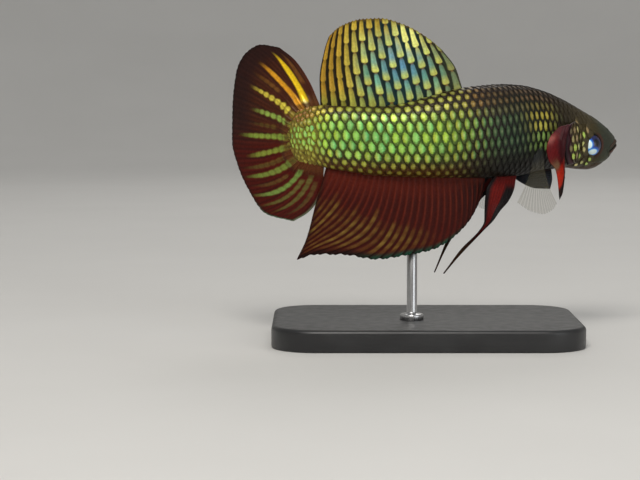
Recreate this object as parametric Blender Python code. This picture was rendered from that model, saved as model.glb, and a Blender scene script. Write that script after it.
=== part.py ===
"""A still, life-size model of a male betta with raised gill covers, held up by a plain display stand.

The fish faces +X with its right side towards -Y. Its body bends to its left, so that the head and
the tail fin both turn away from -Y. Lengths are in millimetres until a mesh is made.

Points on the fish are given as (s, side, z). s is the distance from the tip of the snout along the
backbone, side is the distance to the fish's left of the backbone, and z is the height.
"""

import math

import bmesh
import bpy
import numpy as np
from mathutils import Vector

MM = 0.001
GAP = 0.3  # clearance between neighbouring solids
FIN = 0.5  # thickness of a fin or a gill plate
UP = Vector((0.0, 0.0, 1.0))

# The backbone: heading of the fish at distances from the snout, in degrees towards +Y.
HEADING = [
    (0, 29), (8, 31), (13, 35), (17, 37), (20, 31), (23, 19), (26, 9), (30, 3),
    (36, -2), (42, -9), (47.5, -19), (52, -32), (60, -48), (64, -52),
]
SNOUT = (41.36, 13.24)  # x and y of the tip of the snout
SPINE_STEP = 0.1
SPINE_END = 64.0

# Profile of the body: height of the back, height of the belly, and half width.
BACK = [
    (0, 12.5), (0.15, 13.2), (0.6, 13.8), (1.3, 14.4), (2.4, 15.25), (4.1, 16.3), (5.9, 17.15),
    (9.4, 18.75), (13, 20.0), (16.6, 20.7), (20, 20.9), (26, 20.45), (31.5, 19.1), (34.2, 18.4),
    (37, 18.05), (45, 18.2), (48.3, 17.6), (49.3, 16.4),
]
BELLY = [
    (0, 12.5), (0.15, 11.85), (0.6, 11.3), (1.3, 10.8), (2.4, 10.0), (4.1, 8.95), (6, 9.0),
    (9.4, 9.35), (13, 9.05), (16.6, 8.5), (20, 8.3), (26, 8.35), (31.5, 8.45), (37, 8.65),
    (42.3, 9.3), (45, 9.8), (48.3, 10.3), (49.3, 11.5),
]
HALF_WIDTH = [
    (0, 0.3), (0.15, 0.75), (0.6, 1.25), (1.3, 1.7), (2.4, 2.2), (4.1, 2.6), (5.9, 2.85), (8, 3.2),
    (13, 3.6), (17, 3.75), (20, 3.75), (26, 3.45), (31.5, 3.0), (37, 2.45), (42.3, 1.85),
    (45, 1.45), (48.3, 0.8), (49.3, 0.5),
]
SECTION_POWER = 2.2  # a section is a superellipse of this power
AROUND = 24  # points round a section
GILL_HOLLOW = dict(s=10.9, z=12.9, depth=0.6, length=2.4, height=3.0)

# Where the body is parted.
HEAD_END = 10.9
TRUNK_END = 36.5
STALK_END = 49.3
MOUTH_CORNER = (1.75, 11.75)  # s and z of the corner of the mouth
MOUTH_FRONT = (0.0, 12.8)
JAW_LENGTH = 2.7

EYE_PLACE = (5.6, 2.15, 12.45)
EYE_RADIUS = 1.5
EYE_DEPTH = 1.1
SOCKET_RADIUS = 1.82
SOCKET_DEPTH = 1.42

STAND_TOP = -11.0
STAND_SIZE = (42.0, 29.0, 3.0)
STAND_CENTRE = (14.5, 4.4)
STAND_CORNER = 6.0
STAND_EDGE = 0.6
ROD_RADIUS = 0.7
ROD_PLACE = (32.4, 1.7)  # s and side
ROD_TOP = 11.6


def steady_curve(points):
    """A function through the points whose slope never overshoots them."""
    x = np.array([point[0] for point in points], float)
    y = np.array([point[1:] for point in points], float)
    step = np.diff(x)
    rise = np.diff(y, axis=0) / step[:, None]
    slope = np.zeros_like(y)
    slope[0] = rise[0]
    slope[-1] = rise[-1]
    for i in range(1, len(x) - 1):
        ahead = 2 * step[i] + step[i - 1]
        behind = step[i] + 2 * step[i - 1]
        for k in range(y.shape[1]):
            if rise[i - 1, k] * rise[i, k] > 0:
                slope[i, k] = (ahead + behind) / (ahead / rise[i - 1, k] + behind / rise[i, k])

    def value(at):
        i = min(max(int(np.searchsorted(x, at)) - 1, 0), len(step) - 1)
        h = step[i]
        t = (at - x[i]) / h
        found = (
            y[i] * (1 + 2 * t) * (1 - t) ** 2
            + slope[i] * h * t * (1 - t) ** 2
            + y[i + 1] * t * t * (3 - 2 * t)
            + slope[i + 1] * h * t * t * (t - 1)
        )
        return found if len(found) > 1 else float(found[0])

    return value


def line_through(points):
    """A curve through points in space, as a function of the share of its length from 0 to 1."""
    points = np.array(points, float)
    along = np.concatenate([[0], np.cumsum(np.linalg.norm(np.diff(points, axis=0), axis=1))])
    return steady_curve([(share, *point) for share, point in zip(along / along[-1], points)])


heading = steady_curve(HEADING)
back = steady_curve(BACK)
belly = steady_curve(BELLY)
half_width = steady_curve(HALF_WIDTH)


def trace_spine():
    """The backbone's (s, x, y) from the snout to past the tail."""
    x, y = SNOUT
    points = [(0.0, x, y)]
    for i in range(round(SPINE_END / SPINE_STEP)):
        turn = math.radians(heading((i + 0.5) * SPINE_STEP))
        x -= math.cos(turn) * SPINE_STEP
        y -= math.sin(turn) * SPINE_STEP
        points.append(((i + 1) * SPINE_STEP, x, y))
    return steady_curve(points)


spine = trace_spine()


def place(s, side, z):
    """The point in space, in millimetres, of a point given along the fish."""
    x, y = spine(s)
    turn = math.radians(heading(s))
    return Vector((x - math.sin(turn) * side, y + math.cos(turn) * side, z))


def hollow(s, z):
    """How far the side of the head is pressed in behind the raised gill covers."""
    reach = ((s - GILL_HOLLOW["s"]) / GILL_HOLLOW["length"]) ** 2
    reach += ((z - GILL_HOLLOW["z"]) / GILL_HOLLOW["height"]) ** 2
    return GILL_HOLLOW["depth"] * max(0.0, 1 - reach) ** 2


def skin_side(s, z):
    """Distance of the skin from the middle plane at this height."""
    middle = (back(s) + belly(s)) / 2
    share = min(abs(z - middle) / ((back(s) - belly(s)) / 2), 1.0)
    return half_width(s) * (1 - share**SECTION_POWER) ** (1 / SECTION_POWER) - hollow(s, z)


def belly_skin(s, side):
    """Height of the skin of the underside at this distance from the middle plane."""
    middle = (back(s) + belly(s)) / 2
    share = min(abs(side) / half_width(s), 1.0)
    drop = (back(s) - belly(s)) / 2 * (1 - share**SECTION_POWER) ** (1 / SECTION_POWER)
    return middle - drop


def section(s):
    """The points round the body at this distance from the snout."""
    middle = (back(s) + belly(s)) / 2
    reach = (back(s) - belly(s)) / 2
    ring = []
    for i in range(AROUND):
        angle = 2 * math.pi * i / AROUND
        across, up = math.sin(angle), math.cos(angle)
        z = middle + reach * math.copysign(abs(up) ** (2 / SECTION_POWER), up)
        side = half_width(s) * math.copysign(abs(across) ** (2 / SECTION_POWER), across)
        side -= math.copysign(min(hollow(s, z), abs(side)), across)
        ring.append(place(s, side, z))
    return ring


def make_material(name, colour, roughness, metallic):
    material = bpy.data.materials.new(name)
    material.use_nodes = True
    shader = material.node_tree.nodes["Principled BSDF"]
    shader.inputs["Base Color"].default_value = (*colour, 1.0)
    shader.inputs["Roughness"].default_value = roughness
    shader.inputs["Metallic"].default_value = metallic
    return material


def make_object(name, mesh, colour, roughness=0.4, metallic=0.0):
    """Adds a closed bmesh, given in millimetres, as an object in metres."""
    bmesh.ops.scale(mesh, vec=Vector((MM, MM, MM)), verts=mesh.verts)
    bmesh.ops.recalc_face_normals(mesh, faces=mesh.faces)
    data = bpy.data.meshes.new(name)
    mesh.to_mesh(data)
    mesh.free()
    data.shade_smooth()
    data.set_sharp_from_angle(angle=math.radians(40))
    obj = bpy.data.objects.new(name, data)
    bpy.context.scene.collection.objects.link(obj)
    data.materials.append(make_material(name, colour, roughness, metallic))
    return obj


def make_cutter(name, mesh):
    cutter = make_object(name, mesh, (1.0, 0.0, 0.0))
    cutter.hide_render = True
    cutter.display_type = "WIRE"
    return cutter


def cut(obj, cutter):
    modifier = obj.modifiers.new(cutter.name, "BOOLEAN")
    modifier.operation = "DIFFERENCE"
    modifier.object = cutter


def bridge_rings(mesh, rings):
    for ring, following in zip(rings, rings[1:]):
        for i in range(len(ring)):
            j = (i + 1) % len(ring)
            mesh.faces.new((ring[i], ring[j], following[j], following[i]))


def loft_body(stations, pointed):
    """A closed length of the body through sections at the stations, with a pointed or flat front."""
    mesh = bmesh.new()
    rings = [[mesh.verts.new(point) for point in section(s)] for s in stations]
    bridge_rings(mesh, rings)
    if pointed:
        tip = mesh.verts.new(place(0, 0, back(0)))
        for i, vertex in enumerate(rings[0]):
            mesh.faces.new((tip, rings[0][(i + 1) % AROUND], vertex))
    else:
        mesh.faces.new(rings[0])
    mesh.faces.new(rings[-1])
    return mesh


def stations_between(first, last, count):
    return [first + (last - first) * i / (count - 1) for i in range(count)]


def keep_side(mesh, point, normal):
    """Cuts a closed mesh at a plane and closes it again, keeping what lies against the normal."""
    geometry = list(mesh.verts) + list(mesh.edges) + list(mesh.faces)
    cut_parts = bmesh.ops.bisect_plane(
        mesh, geom=geometry, plane_co=point, plane_no=normal, clear_outer=True, dist=1e-4
    )
    rim = [part for part in cut_parts["geom_cut"] if isinstance(part, bmesh.types.BMEdge)]
    bmesh.ops.edgeloop_fill(mesh, edges=rim)


def head_mesh():
    stations = [0.15, 0.4, 0.8, 1.3, 1.9, 2.6, 3.4, 4.3, 5.4, 6.6, 7.8, 8.9, 9.9, HEAD_END]
    return loft_body(stations, pointed=True)


def mouth_plane():
    """The corner of the mouth, the way forward along its cleft, and the way up from the cleft."""
    corner = place(MOUTH_CORNER[0], 0, MOUTH_CORNER[1])
    along = (place(MOUTH_FRONT[0], 0, MOUTH_FRONT[1]) - corner).normalized()
    leftward = place(MOUTH_CORNER[0], 1, MOUTH_CORNER[1]) - corner
    return corner, along, along.cross(leftward).normalized()


def make_lower_jaw(colour):
    corner, along, upward = mouth_plane()
    jaw = head_mesh()
    keep_side(jaw, corner - upward * GAP / 2, upward)
    keep_side(jaw, corner - along * (JAW_LENGTH - MOUTH_CORNER[0]), -along)
    return make_object("lower_jaw", jaw, colour)


def jaw_cutter():
    """A block that holds the lower jaw with its clearance."""
    corner, along, upward = mouth_plane()
    leftward = upward.cross(along)
    behind = JAW_LENGTH - MOUTH_CORNER[0] + GAP
    size = 12.0
    mesh = bmesh.new()
    bmesh.ops.create_cube(mesh, size=1.0)
    for vertex in mesh.verts:
        forward = -behind if vertex.co.x < 0 else size
        rise = GAP / 2 if vertex.co.z > 0 else -size
        vertex.co = corner + along * forward + leftward * (2 * size * vertex.co.y) + upward * rise
    return make_cutter("jaw_cutter", mesh)


def ellipsoid(place_on_fish, side, radius, depth, segments):
    """A flattened ball at the side of the head, thin across the fish."""
    s, reach, z = place_on_fish
    centre = place(s, side * reach, z)
    turn = math.radians(heading(s))
    forward = Vector((math.cos(turn), math.sin(turn), 0.0))
    outward = Vector((-math.sin(turn), math.cos(turn), 0.0))
    mesh = bmesh.new()
    bmesh.ops.create_uvsphere(mesh, u_segments=segments, v_segments=segments // 2, radius=1.0)
    for vertex in mesh.verts:
        x, y, z = vertex.co
        vertex.co = centre + forward * radius * x + UP * radius * y + outward * depth * z
    return mesh


def plate(surface, across, along, thickness=FIN):
    """A closed plate round a sheet, which is a function of two shares from 0 to 1."""
    mesh = bmesh.new()
    faces = []
    step = 1e-3
    for offset in (thickness / 2, -thickness / 2):
        grid = []
        for i in range(across + 1):
            row = []
            for j in range(along + 1):
                u = min(max(i / across, step), 1 - step)
                v = min(max(j / along, step), 1 - step)
                du = surface(u + step, v) - surface(u - step, v)
                dv = surface(u, v + step) - surface(u, v - step)
                normal = du.cross(dv).normalized()
                row.append(mesh.verts.new(surface(i / across, j / along) + normal * offset))
            grid.append(row)
        faces.append(grid)
    for grid in faces:
        for i in range(across):
            for j in range(along):
                mesh.faces.new((grid[i][j], grid[i + 1][j], grid[i + 1][j + 1], grid[i][j + 1]))
    rim = [(i, 0) for i in range(across)] + [(across, j) for j in range(along)]
    rim += [(i, along) for i in range(across, 0, -1)] + [(0, j) for j in range(along, 0, -1)]
    for (i, j), (k, l) in zip(rim, rim[1:] + rim[:1]):
        near, far = faces
        mesh.faces.new((near[i][j], near[k][l], far[k][l], far[i][j]))
    return mesh


def sheet_between(base, margin, first, last):
    """The sheet that fills four edges: base and margin run alike, first and last join their ends."""
    def surface(u, v):
        sides = first(v) * (1 - u) + last(v) * u
        ends = base(u) * (1 - v) + margin(u) * v
        corners = (base(0) * (1 - u) + base(1) * u) * (1 - v)
        corners += (margin(0) * (1 - u) + margin(1) * u) * v
        return place(*(sides + ends - corners))

    return surface


def joined_edges(base, margin, first, last):
    """Four edges as curves, with the first and last given only by their points between the ends."""
    base, margin = line_through(base), line_through(margin)
    first = line_through([base(0), *first, margin(0)])
    last = line_through([base(1), *last, margin(1)])
    return sheet_between(base, margin, first, last)


def dorsal_surface():
    """The tall dorsal fin, from its rear ray to its front ray."""
    base = [(s, 0, back(s) + GAP) for s in (45.0, 40.0, 35.0, 30.0, 25.9)]
    margin = [
        (43.8, 0, 27.4), (42.3, 0, 28.7), (39.3, 0, 29.7), (36.9, 0, 29.8), (33.8, 0, 29.0),
        (30.7, 0, 27.3), (28.6, 0, 25.6),
    ]
    return joined_edges(base, margin, [(45.1, 0, 21.5), (44.4, 0, 25.6)], [(26.7, 0, 23.1)])


def anal_surface():
    """The long anal fin, from its front ray to the point at its rear, which sways to the right."""
    base = [(s, 0, belly(s) - GAP) for s in (22.5, 28.0, 33.0, 38.0, 42.0, 43.8)]
    margin = [
        (22.9, 0, 5.8), (24.6, 0, 2.7), (27.2, 0, 0.1), (29.7, 0, -1.3), (33.0, 0, -2.0),
        (37.4, -0.1, -2.6), (41.9, -0.2, -2.0), (45.0, -0.3, -2.0), (48.2, -0.3, -2.8),
    ]
    rear = [(44.4, -0.1, 7.6), (45.2, -0.3, 5.1), (46.9, -0.3, -0.1)]
    return joined_edges(base, margin, [(22.6, 0, 7.0)], rear)


def caudal_surface():
    """The round tail fin, from its top ray to its bottom ray, set round the end of the stalk."""
    base = [
        (45.2, 0, back(45.2) + GAP), (48.4, 0, 17.9), (49.8, 0, 16.0), (49.9, 0, 13.9),
        (49.8, 0, 11.9), (48.3, 0, 9.8), (45.1, 0, belly(45.1) - GAP),
    ]
    margin = [
        (50.8, -0.2, 25.9), (53.8, -0.1, 26.3), (56.4, 0, 25.4), (58.6, 0, 22.7), (59.5, 0, 17.3),
        (59.6, 0, 13.0), (58.4, 0, 9.6), (56.2, 0, 6.2), (53.2, 0, 3.2), (49.0, 0.4, 2.3),
    ]
    top = [(46.4, -0.1, 21.2), (48.6, -0.2, 24.3)]
    bottom = [(45.1, 0.3, 7.6), (45.6, 0.5, 5.4), (46.7, 0.5, 3.7)]
    return joined_edges(base, margin, top, bottom)


def pelvic_right_surface():
    """The right pelvic fin, a narrow blade that ends in a thread."""
    base = [(s, -1.0, belly_skin(s, 1.0) - GAP - 0.1) for s in (18.2, 20.2, 22.1)]
    front = [
        (18.7, -1.3, 6.8), (19.8, -1.6, 5.2), (21.1, -1.8, 4.0), (22.2, -1.9, 2.6),
        (23.4, -1.9, 1.4), (26.0, -1.6, -1.7),
    ]
    rear = [
        (22.9, -1.3, 6.8), (23.2, -1.6, 4.1), (23.3, -1.8, 2.6), (24.0, -1.9, 1.3),
        (26.4, -1.6, -1.3),
    ]
    tip = [(28.2, -1.3, -4.6), (28.6, -1.3, -4.3)]
    return joined_edges(base, tip, front, rear)


def pelvic_left_surface():
    """The left pelvic fin, which hangs a little further back than the right."""
    base = [(s, 1.0, belly_skin(s, 1.0) - GAP - 0.1) for s in (18.2, 20.2, 22.1)]
    front = [
        (19.9, 1.3, 7.0), (21.8, 1.6, 5.7), (23.6, 1.7, 4.1), (24.9, 1.8, 2.2), (26.6, 1.8, 0.2),
        (27.5, 1.7, -1.3),
    ]
    rear = [(23.2, 1.3, 6.9), (24.9, 1.6, 5.3), (25.9, 1.7, 3.6), (27.3, 1.8, 0.4), (28.0, 1.7, -1.1)]
    tip = [(29.1, 1.4, -4.7), (29.5, 1.4, -4.4)]
    return joined_edges(base, tip, front, rear)


def pectoral_surface(side):
    """A pectoral fin, fanned downwards and out from its short base."""
    root = [(16.2, 12.3), (16.8, 11.7), (17.5, 11.0)]
    base = [(s, side * (skin_side(s, z) + GAP + 0.2), z) for s, z in root]
    margin = [
        (14.8, side * 5.6, 4.9), (16.0, side * 5.9, 4.1), (17.8, side * 6.0, 3.6),
        (19.5, side * 5.9, 4.1), (21.0, side * 5.6, 5.3),
    ]
    first = [(16.2, side * 4.5, 9.6), (15.7, side * 5.1, 7.0)]
    last = [(19.2, side * 4.9, 8.4)]
    return joined_edges(base, margin, first, last)


def gill_cover_surface(side):
    """A raised gill cover, from its hinge behind the cheek to its free edge."""
    hinge = [(8.9, 15.9), (8.3, 14.4), (8.2, 12.6), (8.7, 10.6)]
    base = [(s, side * (skin_side(s, z) + GAP + FIN / 2), z) for s, z in hinge]
    margin = [
        (12.2, side * 4.9, 15.3), (13.1, side * 5.4, 14.2), (13.4, side * 5.6, 12.7),
        (13.2, side * 5.5, 11.2), (12.4, side * 5.1, 10.0),
    ]
    first = [(10.4, side * 4.2, 15.8)]
    last = [(10.4, side * 4.4, 10.1)]
    return joined_edges(base, margin, first, last)


def gill_membrane_right_surface():
    """The soft membrane behind the right gill cover, which ends below in a hanging lappet."""
    base = [(13.0, -5.2, 15.4), (14.1, -5.6, 12.7), (13.6, -5.4, 10.2), (12.8, -4.9, 8.2)]
    margin = [
        (14.0, -5.0, 15.2), (15.9, -5.15, 13.8), (16.5, -5.2, 12.3), (16.0, -5.1, 10.7),
        (14.5, -4.95, 9.3), (13.9, -4.8, 7.6), (13.4, -4.6, 5.2),
    ]
    return joined_edges(base, margin, [], [(12.9, -4.7, 6.2)])


def gill_membrane_left_surface():
    """The soft membrane behind and below the left gill cover, spread under the throat."""
    base = [(14.1, 5.6, 13.2), (13.9, 5.4, 10.9), (12.5, 4.9, 9.3), (10.4, 4.0, 9.2), (8.3, 3.4, 9.4)]
    margin = [(15.6, 5.3, 12.6), (14.9, 5.1, 9.6), (13.2, 4.1, 7.4), (10.7, 3.5, 6.3), (8.6, 3.1, 6.2)]
    return joined_edges(base, margin, [], [(8.2, 3.2, 7.8)])


def stand_base_mesh():
    """A flat rounded plate with a bevelled rim."""
    length, width, height = STAND_SIZE
    mesh = bmesh.new()
    ring = []
    steps = 6
    for quarter in range(4):
        sign_x, sign_y = ((1, 1), (-1, 1), (-1, -1), (1, -1))[quarter]
        for i in range(steps + 1):
            angle = math.pi / 2 * (quarter + i / steps)
            x = sign_x * (length / 2 - STAND_CORNER) + STAND_CORNER * math.cos(angle)
            y = sign_y * (width / 2 - STAND_CORNER) + STAND_CORNER * math.sin(angle)
            ring.append((x, y))
    rings = []
    for inset, drop in ((STAND_EDGE, 0), (0, STAND_EDGE), (0, height)):
        level = STAND_TOP - drop
        shrink_x = 1 - 2 * inset / length
        shrink_y = 1 - 2 * inset / width
        rings.append([
            mesh.verts.new((
                STAND_CENTRE[0] + x * shrink_x, STAND_CENTRE[1] + y * shrink_y, level
            ))
            for x, y in ring
        ])
    bridge_rings(mesh, rings)
    mesh.faces.new(rings[0])
    mesh.faces.new(rings[-1])
    return mesh


def rod_mesh(radius, bottom, top):
    mesh = bmesh.new()
    bmesh.ops.create_cone(
        mesh, cap_ends=True, segments=20, radius1=radius, radius2=radius, depth=top - bottom
    )
    foot = place(*ROD_PLACE, (bottom + top) / 2)
    bmesh.ops.translate(mesh, vec=foot, verts=mesh.verts)
    return mesh


def make_head_parts():
    head = make_object("head", head_mesh(), (0.16, 0.12, 0.1), roughness=0.35)
    make_lower_jaw((0.15, 0.13, 0.11))
    cut(head, jaw_cutter())
    for name, side in (("left", 1), ("right", -1)):
        socket = ellipsoid(EYE_PLACE, side, SOCKET_RADIUS, SOCKET_DEPTH, 20)
        cut(head, make_cutter(f"socket_{name}", socket))
        eye = ellipsoid(EYE_PLACE, side, EYE_RADIUS, EYE_DEPTH, 20)
        make_object(f"eye_{name}", eye, (0.1, 0.45, 0.8), roughness=0.08)
        cover = plate(gill_cover_surface(side), 6, 5)
        make_object(f"gill_cover_{name}", cover, (0.22, 0.12, 0.12), roughness=0.3)
    left, right = plate(gill_membrane_left_surface(), 12, 4), plate(gill_membrane_right_surface(), 10, 4)
    make_object("gill_membrane_left", left, (0.1, 0.06, 0.08))
    make_object("gill_membrane_right", right, (0.45, 0.04, 0.05))


def make_body_parts():
    trunk = loft_body(stations_between(HEAD_END + GAP, TRUNK_END, 14), pointed=False)
    trunk = make_object("trunk", trunk, (0.12, 0.32, 0.16), roughness=0.3)
    well = rod_mesh(ROD_RADIUS + GAP, STAND_TOP, ROD_TOP + GAP)
    cut(trunk, make_cutter("rod_well", well))
    stations = stations_between(TRUNK_END + GAP, 46.5, 6) + [47.6, 48.5, STALK_END]
    make_object("tail_stalk", loft_body(stations, pointed=False), (0.2, 0.34, 0.12), roughness=0.3)


def make_fins():
    make_object("dorsal_fin", plate(dorsal_surface(), 16, 5), (0.3, 0.4, 0.3))
    make_object("anal_fin", plate(anal_surface(), 20, 5), (0.25, 0.03, 0.03))
    make_object("caudal_fin", plate(caudal_surface(), 22, 6), (0.2, 0.05, 0.03))
    make_object("pelvic_fin_left", plate(pelvic_left_surface(), 3, 16), (0.4, 0.02, 0.02))
    make_object("pelvic_fin_right", plate(pelvic_right_surface(), 3, 16), (0.4, 0.02, 0.02))
    for name, side in (("left", 1), ("right", -1)):
        make_object(f"pectoral_fin_{name}", plate(pectoral_surface(side), 8, 5), (0.4, 0.42, 0.4))


def make_stand():
    make_object("stand_base", stand_base_mesh(), (0.02, 0.02, 0.022), roughness=0.5)
    rod = rod_mesh(ROD_RADIUS, STAND_TOP + GAP, ROD_TOP)
    make_object("stand_rod", rod, (0.6, 0.6, 0.6), roughness=0.3, metallic=1.0)


def stand_on_origin():
    """Moves the whole model so that the middle of its box's underside is at the origin."""
    bpy.context.view_layer.update()
    graph = bpy.context.evaluated_depsgraph_get()
    corners = []
    for obj in bpy.context.scene.objects:
        if not obj.hide_render:
            corners += [Vector(corner) for corner in obj.evaluated_get(graph).bound_box]
    low = [min(corner[axis] for corner in corners) for axis in range(3)]
    high = [max(corner[axis] for corner in corners) for axis in range(3)]
    shift = Vector((-(low[0] + high[0]) / 2, -(low[1] + high[1]) / 2, -low[2]))
    for obj in bpy.context.scene.objects:
        obj.location += shift


def main():
    for obj in list(bpy.data.objects):
        bpy.data.objects.remove(obj, do_unlink=True)
    make_head_parts()
    make_body_parts()
    make_fins()
    make_stand()
    stand_on_origin()


main()
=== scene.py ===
"""The looks of a still betta on its display stand: skin, scales, fins, eyes, gills, stand and studio.

Shapes are worked out in the fish's own frame, in millimetres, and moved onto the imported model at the
end. The fish faces +X with its right side towards -Y. A point on it is (s, side, z): s is the distance
from the tip of the snout along the backbone, side the distance to the fish's left, z the height.
"""

import math
from types import SimpleNamespace

import bpy
import numpy as np
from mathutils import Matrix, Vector


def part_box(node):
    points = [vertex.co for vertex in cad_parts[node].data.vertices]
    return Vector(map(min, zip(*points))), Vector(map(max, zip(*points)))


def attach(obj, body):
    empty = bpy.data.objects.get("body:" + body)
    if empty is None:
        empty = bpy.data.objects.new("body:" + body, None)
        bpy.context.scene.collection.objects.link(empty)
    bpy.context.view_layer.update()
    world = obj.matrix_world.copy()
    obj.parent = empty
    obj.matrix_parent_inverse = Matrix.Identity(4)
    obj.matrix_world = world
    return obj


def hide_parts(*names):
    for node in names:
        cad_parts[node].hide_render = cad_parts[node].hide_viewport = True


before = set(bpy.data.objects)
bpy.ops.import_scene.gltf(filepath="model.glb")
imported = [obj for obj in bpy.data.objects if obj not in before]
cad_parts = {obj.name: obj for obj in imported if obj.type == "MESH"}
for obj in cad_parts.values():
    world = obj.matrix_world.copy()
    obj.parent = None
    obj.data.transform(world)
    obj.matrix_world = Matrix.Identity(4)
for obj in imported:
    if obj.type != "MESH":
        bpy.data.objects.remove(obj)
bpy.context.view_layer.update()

MM = 0.001

# The backbone: heading of the fish at distances from the snout, in degrees towards +Y.
HEADING = [
    (0, 29), (8, 31), (13, 35), (17, 37), (20, 31), (23, 19), (26, 9), (30, 3),
    (36, -2), (42, -9), (47.5, -19), (52, -32), (60, -48), (64, -52),
]
SNOUT = (41.36, 13.24)  # x and y of its tip
SPINE_STEP = 0.1
SPINE_END = 64.0

# Profile of the body: height of the back, height of the belly, and half width.
BACK = [
    (0, 12.5), (0.15, 13.2), (0.6, 13.8), (1.3, 14.4), (2.4, 15.25), (4.1, 16.3), (5.9, 17.15),
    (9.4, 18.75), (13, 20.0), (16.6, 20.7), (20, 20.9), (26, 20.45), (31.5, 19.1), (34.2, 18.4),
    (37, 18.05), (45, 18.2), (48.3, 17.6), (49.3, 16.4),
]
BELLY = [
    (0, 12.5), (0.15, 11.85), (0.6, 11.3), (1.3, 10.8), (2.4, 10.0), (3.3, 9.4), (4.2, 9.05),
    (5.1, 8.95), (6, 9.0), (9.4, 9.35), (13, 9.05), (16.6, 8.5), (20, 8.3), (26, 8.35),
    (31.5, 8.45), (37, 8.65), (42.3, 9.3), (45, 9.8), (48.3, 10.3), (49.3, 11.5),
]
HALF_WIDTH = [
    (0, 0.3), (0.15, 0.75), (0.6, 1.25), (1.3, 1.7), (2.4, 2.2), (4.1, 2.6), (5.9, 2.85), (8, 3.2),
    (13, 3.6), (17, 3.75), (20, 3.75), (26, 3.45), (31.5, 3.0), (37, 2.45), (42.3, 1.85),
    (45, 1.45), (48.3, 0.8), (49.3, 0.5),
]
SECTION_POWER = 2.2  # of the body's outline in cross section, where 2 gives an ellipse
BODY_END = 49.3
GAP = 0.3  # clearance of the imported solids, which the looks close up
HOLLOW = SimpleNamespace(s=10.9, z=12.9, depth=0.6, length=2.4, height=3.0)  # behind the gill covers
COMB_PITCH = 0.34  # of the gill combs in it
MOUTH_CORNER = (2.3, 11.5)  # s and z
MOUTH_FRONT = (0.0, 12.8)
NOSTRIL = (2.3, 0.75)  # s, and the angle round the section from the top
EYE_PLACE = (5.6, 2.15, 12.45)  # s, side and z
EYE_RADIUS = 1.5
EYE_DEPTH = 1.1  # half the eyeball's thickness, from the head outwards
EYE_CLEARING = 2.35  # no scale of the flank has its place nearer to the middle of the eye than this

# The coat: scales in rows along the body, counted up and down from row 0 on the middle of the side.
# A scale's place is the middle of its visible part.
# ROW_RISE is how far row 0 lies above half height, ROW_HEIGHT the height of the middle rows, and
# SCALE_SPACING the length of the scales' visible part.
ROW_RISE = [
    (9, 0.5), (16.5, 0.73), (22.7, 0.1), (28, -0.2), (33, 0.3), (39, 0.65), (44.7, 0.25), (50, 0),
]
ROW_HEIGHT = [
    (0, 0.8), (5, 1.05), (9, 1.26), (13, 1.42), (17, 1.5), (28, 1.54), (35, 1.48), (40, 1.42),
    (43, 1.33), (46, 1.0), (48, 0.8), (50, 0.7),
]
ROW_SQUEEZE = 0.035  # share by which the rows get closer for each row away from the middle
SCALE_SPACING = [
    (0, 1.0), (6, 1.0), (9.5, 0.82), (13, 0.95), (16, 0.98), (19, 0.78), (23, 0.77), (25.5, 1.02),
    (28, 1.13), (31, 1.28), (41, 1.28), (43.5, 1.05), (45, 0.8), (47, 0.65), (50, 0.55),
]
COLUMN_LEAN = 0.1  # how far each row is set back from the one below, in columns
SKIN_AROUND = 216  # points round the skin
COAT_DEPTH = 0.2  # the skin lies this far inside where scales grow
SCALE_LENGTH, SCALE_HEIGHT = 1.03, 1.02  # half a scale's length in spacings, and half its height in rows
SCALE_AHEAD = 0.41  # a scale's middle lies this far ahead of its place, in spacings
SCALE_TILT = 0.1  # rise of a scale for each millimetre towards its free edge
SCALE_LIFT = 0.03  # of the free edge
SCALE_THICKNESS = 0.07
SPOT_BEHIND = 0.17  # a spot's middle lies this far behind its scale's place, in spacings
RIDGE_SCALE_WIDTH = 0.85  # half width in millimetres
RIDGE_LIFT, CHEEK_LIFT, COVER_LIFT = 0.05, 0.09, 0.28  # of the surfaces that scales grow on
MOST_ROWS = 8  # on each side of row 0
MOST_COLUMNS = 60
LEAF_STEPS = 9  # points each way over a scale
PATCH_MARGIN = 0.02  # round a scale's patch of the unwrap, as a share of the patch
CAP_SHARE = 0.04  # of the unwrap's length, for each cap of a tube
RIM_SHARE = 1 / 30  # of a sheet's width and length, over which its rim rounds off
ROOT_STEPS = 6  # points along a fin inside the body
SINK_REACH = 0.4  # share of a sheet over which its sunk root comes up to the surface
SIDES = [(-1, "right"), (1, "left")]

STAND_CENTRE = (14.5, 4.4)  # x and y
STAND_SIZE = (42.0, 29.0, 3.0)
STAND_TOP = -11.0
STAND_CORNER = 6.0  # radius of the plate's outline
STAND_EDGE = 0.6  # radius of its upper edge
ROD_RADIUS = 0.7
ROD_PLACE = (32.4, 1.7)  # s and side
ROD_TOP = 11.6
ROD_ANGLES = np.arange(48) * math.pi / 24
COLLAR = [
    (1.45, -0.1), (1.6, 0.0), (1.6, 0.6), (1.55, 0.74), (1.42, 0.8), (0.95, 0.84), (0.78, 0.92),
    (ROD_RADIUS, 1.1),
]  # radius, and height over the base plate


# ---------------------------------------------------------------- numbers and curves


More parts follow.
